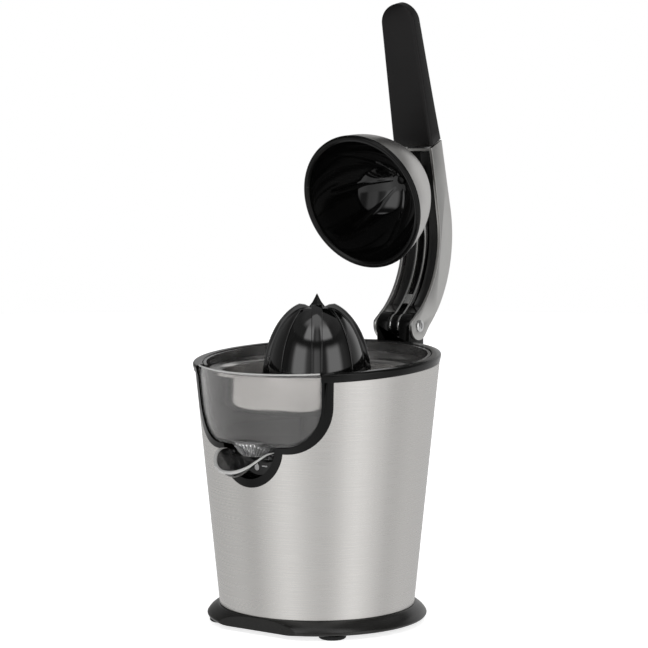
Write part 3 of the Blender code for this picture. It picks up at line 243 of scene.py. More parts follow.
def turned_grain(tree, centre_y, across, along):
    """Noise drawn out round the vertical axis, like lathe or belt marks on a turned sheet."""
    coords = tree.nodes.new("ShaderNodeTexCoord")
    split = tree.nodes.new("ShaderNodeSeparateXYZ")
    offset = tree.nodes.new("ShaderNodeMath")
    offset.operation = "SUBTRACT"
    offset.inputs[1].default_value = centre_y
    turn = tree.nodes.new("ShaderNodeMath")
    turn.operation = "ARCTAN2"
    join = tree.nodes.new("ShaderNodeCombineXYZ")
    scale = tree.nodes.new("ShaderNodeMapping")
    scale.inputs["Scale"].default_value = (across, 1.0, along)
    texture = tree.nodes.new("ShaderNodeTexNoise")
    texture.inputs["Scale"].default_value = 1.0
    texture.inputs["Detail"].default_value = 4.0
    tree.links.new(coords.outputs["Object"], split.inputs["Vector"])
    tree.links.new(split.outputs["Y"], offset.inputs[0])
    tree.links.new(offset.outputs["Value"], turn.inputs[0])
    tree.links.new(split.outputs["X"], turn.inputs[1])
    tree.links.new(turn.outputs["Value"], join.inputs["X"])
    tree.links.new(split.outputs["Z"], join.inputs["Z"])
    tree.links.new(join.outputs["Vector"], scale.inputs["Vector"])
    tree.links.new(scale.outputs["Vector"], texture.inputs["Vector"])
    return texture.outputs["Fac"]


def spread(tree, value, low, high, start=0.35, end=0.65):
    node = tree.nodes.new("ShaderNodeMapRange")
    node.inputs["From Min"].default_value = start
    node.inputs["From Max"].default_value = end
    node.inputs["To Min"].default_value = low
    node.inputs["To Max"].default_value = high
    tree.links.new(value, node.inputs["Value"])
    return node.outputs["Result"]


def tint(tree, value, dark, light):
    ramp = tree.nodes.new("ShaderNodeValToRGB")
    ramp.color_ramp.elements[0].position = 0.35
    ramp.color_ramp.elements[1].position = 0.65
    ramp.color_ramp.elements[0].color = (*dark, 1.0)
    ramp.color_ramp.elements[1].color = (*light, 1.0)
    tree.links.new(value, ramp.inputs["Fac"])
    return ramp.outputs["Color"]


def bump(tree, height, strength, distance, edge=0.0):
    """Fine relief; edge rounds the shading of sharp edges over that radius."""
    node = tree.nodes.new("ShaderNodeBump")
    node.inputs["Strength"].default_value = strength
    node.inputs["Distance"].default_value = distance
    tree.links.new(height, node.inputs["Height"])
    if edge:
        rounding = tree.nodes.new("ShaderNodeBevel")
        rounding.samples = 6
        rounding.inputs["Radius"].default_value = edge
        tree.links.new(rounding.outputs["Normal"], node.inputs["Normal"])
    return node.outputs["Normal"]


def shade(colour, factor):
    return tuple(channel * factor for channel in colour)


def dress(tree, shader, colour, roughness, normal):
    for name, output in (("Base Color", colour), ("Roughness", roughness), ("Normal", normal)):
        tree.links.new(output, shader.inputs[name])


def plastic(name, colour, roughness, variation=0.12, pitch=900.0, relief=0.12, edge=0.0, gloss=0.35):
    """Moulded plastic or rubber: slight mottling, uneven gloss and a fine texture."""
    material, tree, shader = new_material(name)
    shader.inputs["Specular IOR Level"].default_value = gloss
    soft = grain(tree, 45.0, 4.0)
    fine = grain(tree, pitch, 2.0)
    dress(tree, shader, tint(tree, soft, shade(colour, 1 - variation), shade(colour, 1 + variation)),
          spread(tree, soft, roughness * 0.88, roughness * 1.12), bump(tree, fine, relief, 0.00005, edge))
    return material


def metal(name, colour, roughness, relief=0.06, stretch=(1, 1, 1), pitch=1600.0, edge=0.0):
    """Metal with fine marks, drawn out along an axis when stretch says so."""
    material, tree, shader = new_material(name)
    fine = grain(tree, pitch, 3.0, stretch)
    soft = grain(tree, 30.0, 3.0)
    shader.inputs["Metallic"].default_value = 1.0
    dress(tree, shader, tint(tree, soft, shade(colour, 0.96), shade(colour, 1.04)),
          spread(tree, fine, roughness * 0.85, roughness * 1.15), bump(tree, fine, relief, 0.00004, edge))
    return material


def brushed_body(name, colour, roughness):
    """Sheet steel brushed round the body, so that reflections draw out into upright bands."""
    material, tree, shader = new_material(name)
    marks = turned_grain(tree, AXIS_Y, 9.0, 5200.0)
    broad = turned_grain(tree, AXIS_Y, 1.5, 700.0)
    shader.inputs["Metallic"].default_value = 1.0
    shader.inputs["Anisotropic"].default_value = 0.65
    tangent = tree.nodes.new("ShaderNodeTangent")
    tangent.direction_type = "RADIAL"
    tangent.axis = "Z"
    tree.links.new(tangent.outputs["Tangent"], shader.inputs["Tangent"])
    dress(tree, shader, tint(tree, marks, shade(colour, 0.982), shade(colour, 1.014)),
          spread(tree, broad, roughness * 0.92, roughness * 1.08), bump(tree, marks, 0.014, 0.00003))
    return material


def smoky_clear(name, colour, roughness, clarity):
    """Clear moulded plastic with a smoke tint, a little haze and faint flow marks."""
    material, tree, shader = new_material(name)
    flow = grain(tree, 24.0, 2.0, (1, 1, 2))
    fine = grain(tree, 300.0, 2.0)
    shader.inputs["Transmission Weight"].default_value = clarity
    shader.inputs["IOR"].default_value = 1.45
    dress(tree, shader, tint(tree, flow, shade(colour, 0.97), shade(colour, 1.03)),
          spread(tree, fine, roughness * 0.8, roughness * 1.2), bump(tree, flow, 0.03, 0.0003))
    return material


def make_materials():
    return {
        "steel_body": brushed_body("brushed_steel", (0.672, 0.657, 0.637), 0.28),
        # a darker copy of the body steel: painted shade for the inside of the housing
        "steel_inside_painted_shade": metal("steel_inside_painted_shade", (0.30, 0.30, 0.30), 0.45, relief=0.01),
        "strainer_steel": metal("strainer_steel", (0.62, 0.61, 0.60), 0.22, relief=0.015, pitch=700.0),
        "satin_metal": metal("satin_metal", (0.60, 0.595, 0.58), 0.34, edge=0.0003),
        "cup_metal": metal("cup_metal", (0.60, 0.59, 0.575), 0.36, pitch=1200.0),
        "rail_steel": metal("rail_steel", (0.66, 0.66, 0.65), 0.18, stretch=(1, 1, 0.05)),
        "zinc_steel": metal("zinc_steel", (0.56, 0.56, 0.57), 0.28),
        "bright_screw": metal("bright_screw", (0.70, 0.70, 0.70), 0.20),
        "copper": metal("enamelled_copper", (0.60, 0.25, 0.12), 0.32, stretch=(1, 1, 8), pitch=300.0),
        "brass": metal("turned_brass", (0.66, 0.49, 0.22), 0.26, stretch=(1, 1, 12)),
        "black_gloss": plastic("black_gloss", (0.0045, 0.0045, 0.0045), 0.06, relief=0.02, gloss=0.5),
        "reamer_black": plastic("reamer_black", (0.0025, 0.0025, 0.0025), 0.08, relief=0.01, gloss=1.0),
        "cup_black": plastic("cup_black", (0.0020, 0.0020, 0.0020), 0.05, relief=0.01, gloss=0.6),
        "black_satin": plastic("black_satin", (0.0030, 0.0030, 0.0029), 0.14, edge=0.0005, gloss=0.22),
        "base_black": plastic("base_black", (0.0110, 0.0105, 0.0097), 0.24, edge=0.0006, gloss=0.38),
        "channel_black": plastic("channel_black", (0.0110, 0.0110, 0.0108), 0.34, edge=0.0004),
        # near-black, barely reflective plastic: painted shade in the rail's slot
        "slot_painted_shade": plastic("slot_painted_shade", (0.0030, 0.0030, 0.0030), 0.40, gloss=0.10),
        "grip_black": plastic("grip_black", (0.0060, 0.0055, 0.0056), 0.42, pitch=1400.0, relief=0.22, gloss=0.25),
        "rubber": plastic("rubber", (0.010, 0.010, 0.010), 0.72, relief=0.3, gloss=0.25),
        "inner_plastic": plastic("inner_plastic", (0.045, 0.045, 0.047), 0.48, relief=0.2),
        "gear_plastic": plastic("gear_plastic", (0.78, 0.77, 0.71), 0.42, variation=0.03),
        "smoke_clear": smoky_clear("smoke_clear", (0.78, 0.77, 0.76), 0.03, 0.95),
        "scoop_smoke": smoky_clear("scoop_smoke", (0.10, 0.10, 0.10), 0.06, 0.95),
        "flute_clear": smoky_clear("flute_clear", (0.92, 0.92, 0.92), 0.03, 0.88),
        # pale, half-clear plastic for the lip beads: a painted highlight along the lips
        "lip_painted_highlight": smoky_clear("lip_painted_highlight", (0.72, 0.72, 0.71), 0.12, 0.35),
        "print_grey": plastic("print_grey", (0.55, 0.55, 0.55), 0.40, relief=0.02),
    }


# ---------------------------------------------------------------- mesh helpers
def fillet(points, radius, steps=4, closed=True):
    """Round the corners of a profile, each by no more than its shorter side allows."""
    result = []
    count = len(points)
    for i, point in enumerate(points):
        here = Vector(point)
        if not closed and i in (0, count - 1):
            result.append(tuple(here))
            continue
        before = Vector(points[i - 1]) - here
        after = Vector(points[(i + 1) % count]) - here
        reach = min(radius, before.length * 0.45, after.length * 0.45)
        start = here + before.normalized() * reach
        end = here + after.normalized() * reach
        for step in range(steps + 1):
            t = step / steps
            result.append(tuple(start * (1 - t) ** 2 + here * 2 * t * (1 - t) + end * t ** 2))
    return result


def wrap(bm, rows):
    """Faces between neighbouring closed rows of as many vertices each."""
    for low, high in zip(rows, rows[1:]):
        for i in range(len(low)):
            k = (i + 1) % len(low)
            bm.faces.new((low[i], low[k], high[k], high[i]))


def skin(rings):
    """A solid through a row of rings, closed at both ends."""
    bm = bmesh.new()
    rows = [[bm.verts.new(point) for point in ring] for ring in rings]
    wrap(bm, rows)
    bm.faces.new(list(reversed(rows[0])))
    bm.faces.new(rows[-1])
    return bm


def bead_ring(middle, away, radius, sides):
    """One upright ring of a round bead, spread along a level direction."""
    turns = [2 * math.pi * k / sides for k in range(sides)]
    return [middle + away * (radius * math.cos(turn)) + Vector((0.0, 0.0, radius * math.sin(turn)))
            for turn in turns]


def standing(origin, direction):
    """The move that stands an upright shape on a point, along a direction."""
    turn = Vector((0, 0, 1)).rotation_difference(Vector(direction))
    return Matrix.Translation(origin) @ turn.to_matrix().to_4x4()


def turned(profile, sides, centre=(0.0, 0.0), lift=None):
    """A solid turned round a vertical axis, closed at radius 0 or on itself like a ring."""
    def place(radius, height, turn):
        x = centre[0] + radius * math.cos(turn)
        y = centre[1] + radius * math.sin(turn)
        return (x, y, lift(x, y, height) if lift else height)

    bm = bmesh.new()
    solid = profile[0][0] == 0.0
    body = profile[1:-1] if solid else profile
    rows = [[bm.verts.new(place(radius, height, 2 * math.pi * i / sides)) for i in range(sides)]
            for radius, height in body]
    if not solid:
        rows.append(rows[0])
    wrap(bm, rows)
    if solid:
        for (_, height), row in ((profile[0], rows[0]), (profile[-1], rows[-1])):
            tip = bm.verts.new(place(0.0, height, 0.0))
            for i in range(sides):
                bm.faces.new((row[i], row[(i + 1) % sides], tip))
    return bm


def turned_about(profile, sides, origin, direction):
    bm = turned(profile, sides)
    bm.transform(standing(origin, direction))
    return bm


def rod(start, end, radius, sides=SMALL):
    start = Vector(start)
    end = Vector(end)
    length = (end - start).length
    return turned_about([(0.0, 0.0), (radius, 0.0), (radius, length), (0.0, length)],
                        sides, start, end - start)


def cross_rod(y, z, half, radius, sides=SMALL):
    """A level rod across the body's middle plane."""
    return rod((-half, y, z), (half, y, z), radius, sides)


def block(low, high):
    bm = bmesh.new()
    bmesh.ops.create_cube(bm, size=1.0)
    size = [b - a for a, b in zip(low, high)]
    middle = [(a + b) / 2 for a, b in zip(low, high)]
    bm.transform(Matrix.Translation(middle) @ Matrix.Diagonal((*size, 1.0)))
    return bm


def prism(outline, low, high, axis):
    """A straight solid from a 2-D outline: (x, y) along z, (y, z) along x or (x, z) along y."""
    place = {"z": lambda a, b, h: (a, b, h),
             "x": lambda a, b, h: (h, a, b),
             "y": lambda a, b, h: (a, h, b)}[axis]
    return skin([[place(a, b, height) for a, b in outline] for height in (low, high)])


def arc(centre, radius, start, end, count):
    points = []
    for i in range(count + 1):
        turn = math.radians(start + (end - start) * i / count)
        points.append((centre[0] + radius * math.cos(turn), centre[1] + radius * math.sin(turn)))
    return points


def add_object(name, data):
    obj = bpy.data.objects.new(name, data)
    bpy.context.scene.collection.objects.link(obj)
    return obj


def solid(name, bm):
    """A bare object in the body's frame, ready for boolean work."""
    bmesh.ops.recalc_face_normals(bm, faces=bm.faces)
    mesh = bpy.data.meshes.new(name)
    bm.to_mesh(mesh)
    bm.free()
    return add_object(name, mesh)


def bake(obj):
    """Apply an object's modifiers to its mesh."""
    bpy.context.view_layer.update()
    evaluated = obj.evaluated_get(bpy.context.evaluated_depsgraph_get())
    mesh = bpy.data.meshes.new_from_object(evaluated)
    obj.modifiers.clear()
    obj.data = mesh


def combine(obj, operation, *others):
    for other in others:
        modifier = obj.modifiers.new(operation.lower(), "BOOLEAN")
        modifier.operation = operation
        modifier.solver = "EXACT"
        modifier.object = other
    bake(obj)
    for other in others:
        bpy.data.objects.remove(other, do_unlink=True)


def cut(obj, *cutters):
    combine(obj, "DIFFERENCE", *cutters)


def join(obj, *others):
    combine(obj, "UNION", *others)


def keep_inside(obj, *others):
    combine(obj, "INTERSECT", *others)


def soften(obj, width, segments=3, angle=30.0):
    """Round the edges sharper than an angle."""
    modifier = obj.modifiers.new("edges", "BEVEL")
    modifier.width = width
    modifier.segments = segments
    modifier.limit_method = "ANGLE"
    modifier.angle_limit = math.radians(angle)
    modifier.use_clamp_overlap = True
    modifier.harden_normals = False
    bake(obj)


def finish_piece(obj, body, material, nodes=(), sharp=35.0):
    """Move a piece into the row frame, shade it and hang it on its body."""
    obj.data.transform(Matrix.Translation(SHIFT))
    obj.data.materials.clear()
    obj.data.materials.append(MATERIALS[material])
    obj.data.shade_smooth()
    obj.data.set_sharp_from_angle(angle=math.radians(sharp))
    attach(obj, body)
    if nodes:
        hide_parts(*nodes)


# ---------------------------------------------------------------- shapes of the body
def shell_r(z):
    return SHELL_R + (z - SHELL_BOTTOM) * SHELL_SLOPE


def on_rim(x, y, z):
    return z + RIM_Z + RIM_TILT * y


def cone_band(inner_sink, outer_sink, low, high):
    """A conical band parallel to the shell, between two depths below its surface."""
    return turned([(shell_r(low) - outer_sink, low), (shell_r(high) - outer_sink, high),
                   (shell_r(high) - inner_sink, high), (shell_r(low) - inner_sink, low)], FINE)


def window_outline(angle, floor, corner, recess, inset=0.0, top=0.215):
    """The window's outline seen from the front, open upwards, with the recess's half round."""
    middle_r = shell_r(floor + corner)
    reach = angle * middle_r - inset
    corner = corner - inset
    floor = floor + inset
    right = [(reach, top), (reach, floor + corner + 0.006)]
    right += arc((reach - corner, floor + corner), corner, 0, -90, 18)
    if recess:
        turn = math.degrees(math.asin((floor - WINDOW_FLOOR) / recess))
        right += arc((0.0, WINDOW_FLOOR), recess, turn, -90, 24)
    else:
        right += [(reach - corner - 0.010, floor), (0.012, floor), (0.0, floor)]
    right = [(shell_r(z) * math.sin(u / middle_r), z) for u, z in right]
    left = [(-x, z) for x, z in reversed(right) if x > 1e-6]
    return right + left


def recess_outline(radius):
    steps = 40
    return [(radius * math.cos(-math.pi * i / steps), WINDOW_FLOOR - GAP + radius * math.sin(-math.pi * i / steps))
            for i in range(steps + 1)]


def front_prism(name, outline, back=-0.03):
    return solid(name, prism(outline, -0.12, back, "y"))


# ---------------------------------------------------------------- base and shell
def build_base():
    profile = [(BASE_INNER, BASE_BOTTOM), (0.0795, BASE_BOTTOM), (0.0815, 0.0038), (BASE_R, 0.0056),
               (0.0802, 0.0088), (0.0770, 0.0113), (0.0741, BASE_TOP), (0.0718, BASE_TOP),
               (0.0714, 0.0200), (BASE_INNER, 0.0200)]
    ring = solid("base_ring_fine", turned(fillet(profile, 0.0016), FINE))
    cut(ring, solid("front", block((-0.1, -0.1, -0.01), (0.1, BASE_FLAT_Y, 0.03))))
    cut(ring, solid("inlet", rod((0, 0.060, 0.0084), (0, 0.095, 0.0084), 0.0036)))
    finish_piece(ring, "housing", "base_black", ["base_ring"], sharp=28.0)

    foot = [(0.0, 0.0004), (0.0060, 0.0004), (0.0064, 0.0), (FOOT_R - 0.0012, 0.0), (FOOT_R, 0.0010),
            (FOOT_R, FOOT_H), (0.0, FOOT_H)]
    foot = foot[:1] + fillet(foot[1:-1], 0.0005, 3, closed=False) + foot[-1:]
    for side, x in (("left", -FOOT_X), ("right", FOOT_X)):
        for end, y in (("front", -FOOT_Y), ("rear", FOOT_Y)):
            pad = solid(f"foot_{end}_{side}_fine", turned(foot, MEDIUM, (x, y)))
            finish_piece(pad, "housing", "rubber", [f"foot_{end}_{side}"])


def build_shell():
    low = SHELL_BOTTOM
    high = 0.230
    profile = [(shell_r(low), low), (shell_r(high), high),
               (shell_r(high) - SHELL_SHEET, high), (shell_r(low) - SHELL_SHEET, low)]
    shell = solid("body_shell_fine", turned(profile, FINE))
    outline = window_outline(BORDER_ANGLE, BORDER_FLOOR, BORDER_CORNER, RECESS_BORDER_R + GAP, -GAP, 0.25)
    above = [(0.0, 0.06), (0.12, 0.06), (0.12, -RIM_BAND - GAP), (0.0, -RIM_BAND - GAP)]
    cut(shell, front_prism("opening", outline), solid("above", turned(above, FINE, lift=on_rim)))
    finish_piece(shell, "housing", "steel_body", ["body_shell"])
    # faces turned inwards take the darker steel copy, which paints the shade inside the housing
    shell.data.materials.append(MATERIALS["steel_inside_painted_shade"])
    for face in shell.data.polygons:
        if face.normal.x * face.center.x + face.normal.y * (face.center.y - AXIS_Y) < 0:
            face.material_index = 1


def build_top_frame():
    rim = [(0.0914, -RIM_BAND), (RIM_OUTER, -0.0012), (0.0915, 0.0), (0.0856, 0.0),
           (RIM_INNER, -0.0007), (RIM_INNER, -0.0085), (0.0866, -0.0085), (0.0866, -RIM_BAND)]
    ring = solid("top_frame_fine", turned(fillet(rim, 0.0006), FINE, lift=on_rim))

    border = solid("border", cone_band(BORDER_DEPTH, -BORDER_PROUD, 0.100, 0.196))
    keep_inside(border, front_prism("outer", window_outline(BORDER_ANGLE, BORDER_FLOOR, BORDER_CORNER,
                                                            RECESS_BORDER_R)))
    below_rim = [(0.0, 0.06), (0.12, 0.06), (0.12, -0.003), (0.0, -0.003)]
    cut(border, solid("below_rim", turned(below_rim, FINE, lift=on_rim)))

    well = solid("well", cone_band(RECESS_DEPTH, 0.0020, 0.100, WINDOW_FLOOR - GAP))
    keep_inside(well, front_prism("well_outer", recess_outline(0.0272)))
    for piece in (ring, border):
        cut(piece, front_prism("window", window_outline(WINDOW_ANGLE, WINDOW_FLOOR, WINDOW_CORNER, RECESS_R)))
    clear = RECESS_R + 0.0002
    cut(well, front_prism("throat", [(clear, 0.150)] + recess_outline(clear) + [(-clear, 0.150)]))
    join(ring, border, well)
    finish_piece(ring, "housing", "black_satin", ["top_frame"], sharp=28.0)

    panel = solid("recess_panel_fine", cone_band(RECESS_DEPTH - 0.0003, PANEL_SINK, 0.100, 0.150))
    keep_inside(panel, front_prism("panel_outline", recess_outline(RECESS_R - GAP)))
    finish_piece(panel, "housing", "black_gloss", ["recess_panel"])
    build_recess_sign()


def build_recess_sign():
    """A plain droplet and a dash printed on the recess panel."""
    def on_panel(x, z, proud):
        radius = shell_r(z) - PANEL_SINK + proud
        return (x, -math.sqrt(radius * radius - x * x), z)

    droplet = []
    for i in range(48):
        turn = 2 * math.pi * i / 48
        width = 0.0026 * math.sin(turn) * math.sin(turn / 2) ** 1.2
        droplet.append((0.0030 + width, 0.1243 + 0.0034 * math.cos(turn)))
    dash = fillet([(0.0074, 0.1238), (0.0118, 0.1238), (0.0118, 0.1248), (0.0074, 0.1248)], 0.0005)
    for name, outline in (("recess_droplet", droplet), ("recess_dash", dash)):
        rings = [[on_panel(x, z, proud) for x, z in outline] for proud in (-0.0002, 0.00006)]
        sign = solid(name, skin(rings))
        finish_piece(sign, "housing", "print_grey")


# ---------------------------------------------------------------- bowl and strainer
def build_bowl():
    def rim_lift(x, y, z):
        return z + RIM_TILT * y if z > 0.18 else z

    lip = RIM_Z - 0.0006
    outside = [(BOWL_FOOT_R - 0.006, BOWL_BOTTOM), (BOWL_FOOT_R - 0.001, 0.1412),
               (BOWL_FOOT_R + 0.0008, 0.1460), (BOWL_R, 0.1850), (BOWL_R, lip)]
    outside = [(0.0, BOWL_BOTTOM)] + fillet(outside, 0.0012, 3, closed=False) + [(0.0, lip)]
    bowl = solid("juice_bowl_fine", turned(outside, FINE, lift=rim_lift))
    bay = solid("bay", cone_band(0.030, 0.0008, BOWL_BOTTOM, 0.1915))
    keep_inside(bay, front_prism("bay_outline", window_outline(WINDOW_ANGLE, WINDOW_FLOOR, WINDOW_CORNER, 0.0,
                                                               0.0004), -0.05))
    join(bowl, bay)

    wall = BOWL_WALL
    inside = [(0.0, BOWL_FLOOR), (BOWL_FOOT_R - 0.0075, BOWL_FLOOR), (BOWL_FOOT_R - 0.0030, 0.1434),
              (BOWL_FOOT_R - 0.0014, 0.1475), (BOWL_R - wall, 0.1850), (BOWL_R - wall, 0.26), (0.0, 0.26)]
    hollow = solid("hollow", turned(inside, FINE))
    bay_hollow = solid("bay_hollow", cone_band(0.034, 0.0008 + wall, BOWL_FLOOR, 0.200))
    keep_inside(bay_hollow, front_prism("bay_inner", window_outline(WINDOW_ANGLE, WINDOW_FLOOR, WINDOW_CORNER,
                                                                    0.0, 0.0004 + wall), -0.045))
    cut(bowl, hollow, bay_hollow)
    column = [(0.0, 0.1400), (COLUMN_OUTER, 0.1400), (COLUMN_OUTER, COLUMN_TOP), (0.0, COLUMN_TOP)]
    join(bowl, solid("column", turned(column, MEDIUM)))
    cut(bowl, solid("bore", rod((0, 0, 0.130), (0, 0, 0.170), COLUMN_BORE, MEDIUM)),
        solid("outlet", block((-0.011, -0.0815, 0.130), (0.011, -0.0760, 0.145))))
    finish_piece(bowl, "housing", "smoke_clear", ["juice_bowl"], sharp=25.0)
    build_bowl_lip()


def build_bowl_lip():
    """Fine clear bead along the window's open upper edge, in a pale, half-clear plastic that paints the edge's
    highlight.
    """
    rings = []
    steps = 60
    reach = WINDOW_ANGLE - math.radians(1.0)
    for i in range(steps + 1):
        turn = -math.pi / 2 - reach + 2 * reach * i / steps
        away = Vector((math.cos(turn), math.sin(turn), 0.0))
        middle = away * (shell_r(RIM_Z) - 0.0016)
        middle.z = on_rim(middle.x, middle.y, BOWL_BEAD * 0.3)
        rings.append(bead_ring(middle, away, BOWL_BEAD, 10))
    lip = solid("bowl_lip", skin(rings))
    finish_piece(lip, "housing", "lip_painted_highlight", sharp=60.0)


def build_strainer():
    corner = arc((BASKET_R - BASKET_CORNER, BASKET_BOTTOM + BASKET_CORNER), BASKET_CORNER, -90, 0, 12)
    inner = arc((BASKET_R - BASKET_CORNER, BASKET_BOTTOM + BASKET_CORNER), BASKET_CORNER - SHEET, 0, -90, 12)
    roll = 0.0022         # radius of the bend from the basket into its flange
    bend_out = arc((BASKET_R + roll, STRAINER_TOP - SHEET - roll), roll, 180, 90, 8)
    bend_in = arc((BASKET_R + roll, STRAINER_TOP - SHEET - roll), roll + SHEET, 90, 180, 8)
    profile = [(0.0135, BASKET_BOTTOM)] + corner + bend_out
    profile += [(STRAINER_R - 0.0008, STRAINER_TOP - SHEET), (STRAINER_R - 0.0008, STRAINER_TOP - 0.0026),
                (STRAINER_R, STRAINER_TOP - 0.0026), (STRAINER_R, STRAINER_TOP - 0.0004),
                (STRAINER_R - 0.0004, STRAINER_TOP)]
    profile += bend_in + inner + [(0.0135, BASKET_BOTTOM + SHEET)]
    strainer = solid("strainer_fine", turned(profile, FINE))
    slots = bmesh.new()
    for low, high, count in ((0.0185, 0.0300, 24), (0.0330, 0.0560, 48)):
        for index in range(count):
            slot = block((low, -0.0006, 0.150), (high, 0.0006, 0.166))
            slot.transform(Matrix.Rotation(2 * math.pi * index / count, 4, "Z"))
            mesh = bpy.data.meshes.new("slot")
            slot.to_mesh(mesh)
            slots.from_mesh(mesh)
            slot.free()
            bpy.data.meshes.remove(mesh)
    cut(strainer, solid("slots", slots))
    finish_piece(strainer, "housing", "strainer_steel", ["strainer"])


# ---------------------------------------------------------------- spout
def scoop_lip(y):
    """Height of the scoop's lip: low at its front, level with the recess at its rear."""
    back = min(1.0, max(0.0, (y - SPOUT_FRONT) / (SPOUT_Y - SPOUT_FRONT)))
    return LIP_FRONT_Z + (SPOUT_TOP - LIP_FRONT_Z) * math.sin(math.pi / 2 * back) ** 1.1


def scoop_section(turn):
    """Closed profile of the shallow scoop's wall and floor along one direction seen from above."""
    lip = scoop_lip(SPOUT_Y + SPOUT_R * math.sin(turn))
    edge = lip - SCOOP_DEPTH

    def at(z, sink=0.0):
        share = max(0.0, (z - edge) / SCOOP_DEPTH)
        radius = SCOOP_FLOOR_R + (SPOUT_R - SCOOP_FLOOR_R) * share ** 0.6 - sink
        return Vector((radius * math.cos(turn), SPOUT_Y + radius * math.sin(turn), z))

    half = SPOUT_WALL / 2
    steps = SCOOP_CROWN - 4
    outer = [at(edge + (SCOOP_DEPTH - half) * i / steps) for i in range(steps + 1)]
    crown = [at(lip - half + half * math.sin(math.pi * i / 6), half - half * math.cos(math.pi * i / 6))
             for i in range(1, 6)]
    inner = [at(lip - half + (SPOUT_WALL - SCOOP_DEPTH + half) * i / steps, SPOUT_WALL)
             for i in range(steps + 1)]
    middle = Vector((0.0, SPOUT_PIN_Y + 0.0005, SCOOP_MIDDLE_Z))
    return [middle] + outer + crown + inner + [middle + Vector((0.0, 0.0, SPOUT_WALL))]


def build_spout():
    """Open clear scoop with a rolled lip, on two ears."""
    bm = bmesh.new()
    steps = 96
    start = math.radians(16.0)
    rows = []
    for i in range(steps + 1):
        turn = start - (math.pi + 2 * start) * i / steps
        rows.append([bm.verts.new(point) for point in scoop_section(turn)])
    for low, high in zip(rows, rows[1:]):
        for i in range(len(low) - 1):
            bm.faces.new((low[i], low[i + 1], high[i + 1], high[i]))
    bm.faces.new(rows[0])
    bm.faces.new(list(reversed(rows[-1])))
    bmesh.ops.remove_doubles(bm, verts=bm.verts, dist=0.00001)
    spout = solid("spout_fine", bm)
    for sign in (-1, 1):
        edge = sorted((sign * 0.0155, sign * 0.0188))
        join(spout, solid("ear", block((edge[0], SPOUT_PIN_Y - 0.004, SPOUT_PIN_Z - 0.0028),
                                       (edge[1], SPOUT_PIN_Y + 0.0026, SPOUT_PIN_Z + 0.0030))))
        cut(spout, solid("ear_bore", rod((sign * 0.014, SPOUT_PIN_Y, SPOUT_PIN_Z),
                                         (sign * 0.024, SPOUT_PIN_Y, SPOUT_PIN_Z), 0.0015)))
    finish_piece(spout, "pouring_spout", "scoop_smoke", ["spout"], sharp=40.0)
    build_scoop_lip()
    build_funnel()


def build_scoop_lip():
    """Clear rolled bead along the scoop's edge, in a pale, half-clear plastic that paints the rim's highlight."""
    rings = []
    steps = 96
    start = math.radians(14.0)
    for i in range(steps + 1):
        turn = start - (math.pi + 2 * start) * i / steps
        middle = scoop_section(turn)[SCOOP_CROWN] + Vector((0.0, 0.0, -0.0003))
        away = Vector((math.cos(turn), math.sin(turn), 0.0))
        swell = LIP_BEAD * (0.30 + 0.70 * min(1.0, 2.6 * i / steps, 8.0 * (1 - i / steps)))
        rings.append(bead_ring(middle, away, swell, 12))
    lip = solid("scoop_lip", skin(rings))
    finish_piece(lip, "pouring_spout", "lip_painted_highlight", sharp=60.0)


def build_funnel():
    """Fluted clear funnel under the bowl's outlet, which leads the juice into the scoop."""
    flutes = 34
    sides = flutes * 8
    levels = 12
    rings = []
    for level in range(levels + 1):
        t = level / levels
        ring = []
        for i in range(sides):
            turn = 2 * math.pi * i / sides
            wave = FLUTE_DEPTH * (0.5 + 0.5 * math.cos(flutes * turn)) * (1 - (2 * t - 1) ** 8)
            reach_x = FUNNEL_LOW_X + (FUNNEL_X - FUNNEL_LOW_X) * t ** 0.8 - wave
            reach_y = FUNNEL_LOW_Y + (FUNNEL_HALF_Y - FUNNEL_LOW_Y) * t ** 0.8 - wave
            ring.append((reach_x * math.cos(turn), FUNNEL_Y + reach_y * math.sin(turn),
                         FUNNEL_BOTTOM + (FUNNEL_TOP - FUNNEL_BOTTOM) * t))
        rings.append(ring)
    funnel = solid("outlet_funnel", skin(rings))
    cut(funnel, solid("behind_bowl", cone_band(0.040, 0.0004, WINDOW_FLOOR - GAP, 0.160)),
        solid("behind_panel", cone_band(0.040, PANEL_SINK - GAP, 0.110, WINDOW_FLOOR)))
    finish_piece(funnel, "housing", "flute_clear", sharp=60.0)


# ---------------------------------------------------------------- reamer
def fin_reach(z):
    """Radius of the fins' outer edge at a height."""
    share = (z - REAMER_BASE) / (FIN_CREST_Z - REAMER_BASE)
    return FIN_CREST_R + (REAMER_R - FIN_CREST_R) * max(0.0, 1 - share ** 2.7) ** 0.62


def thin_out(points, spacing):
    """Keep the first and last points and those at least a spacing apart."""
    kept = [points[0]]
    for point in points[1:-1]:
        if math.dist(point, kept[-1]) >= spacing and math.dist(point, points[-1]) >= spacing:
            kept.append(point)
    return kept + [points[-1]]


def blade_outline(sink, foot, top_z, crown):
    """Upright outline of a blade right across the reamer, at a depth below the fins' curve."""
    steps = 400
    edge = []
    for i in range(steps + 1):
        z = foot + (top_z - foot) * math.sin(math.pi / 2 * i / steps)
        edge.append((fin_reach(z) - sink, z))
    half = thin_out(edge, 0.0016) + crown
    return half + [(-x, z) for x, z in reversed(half)]


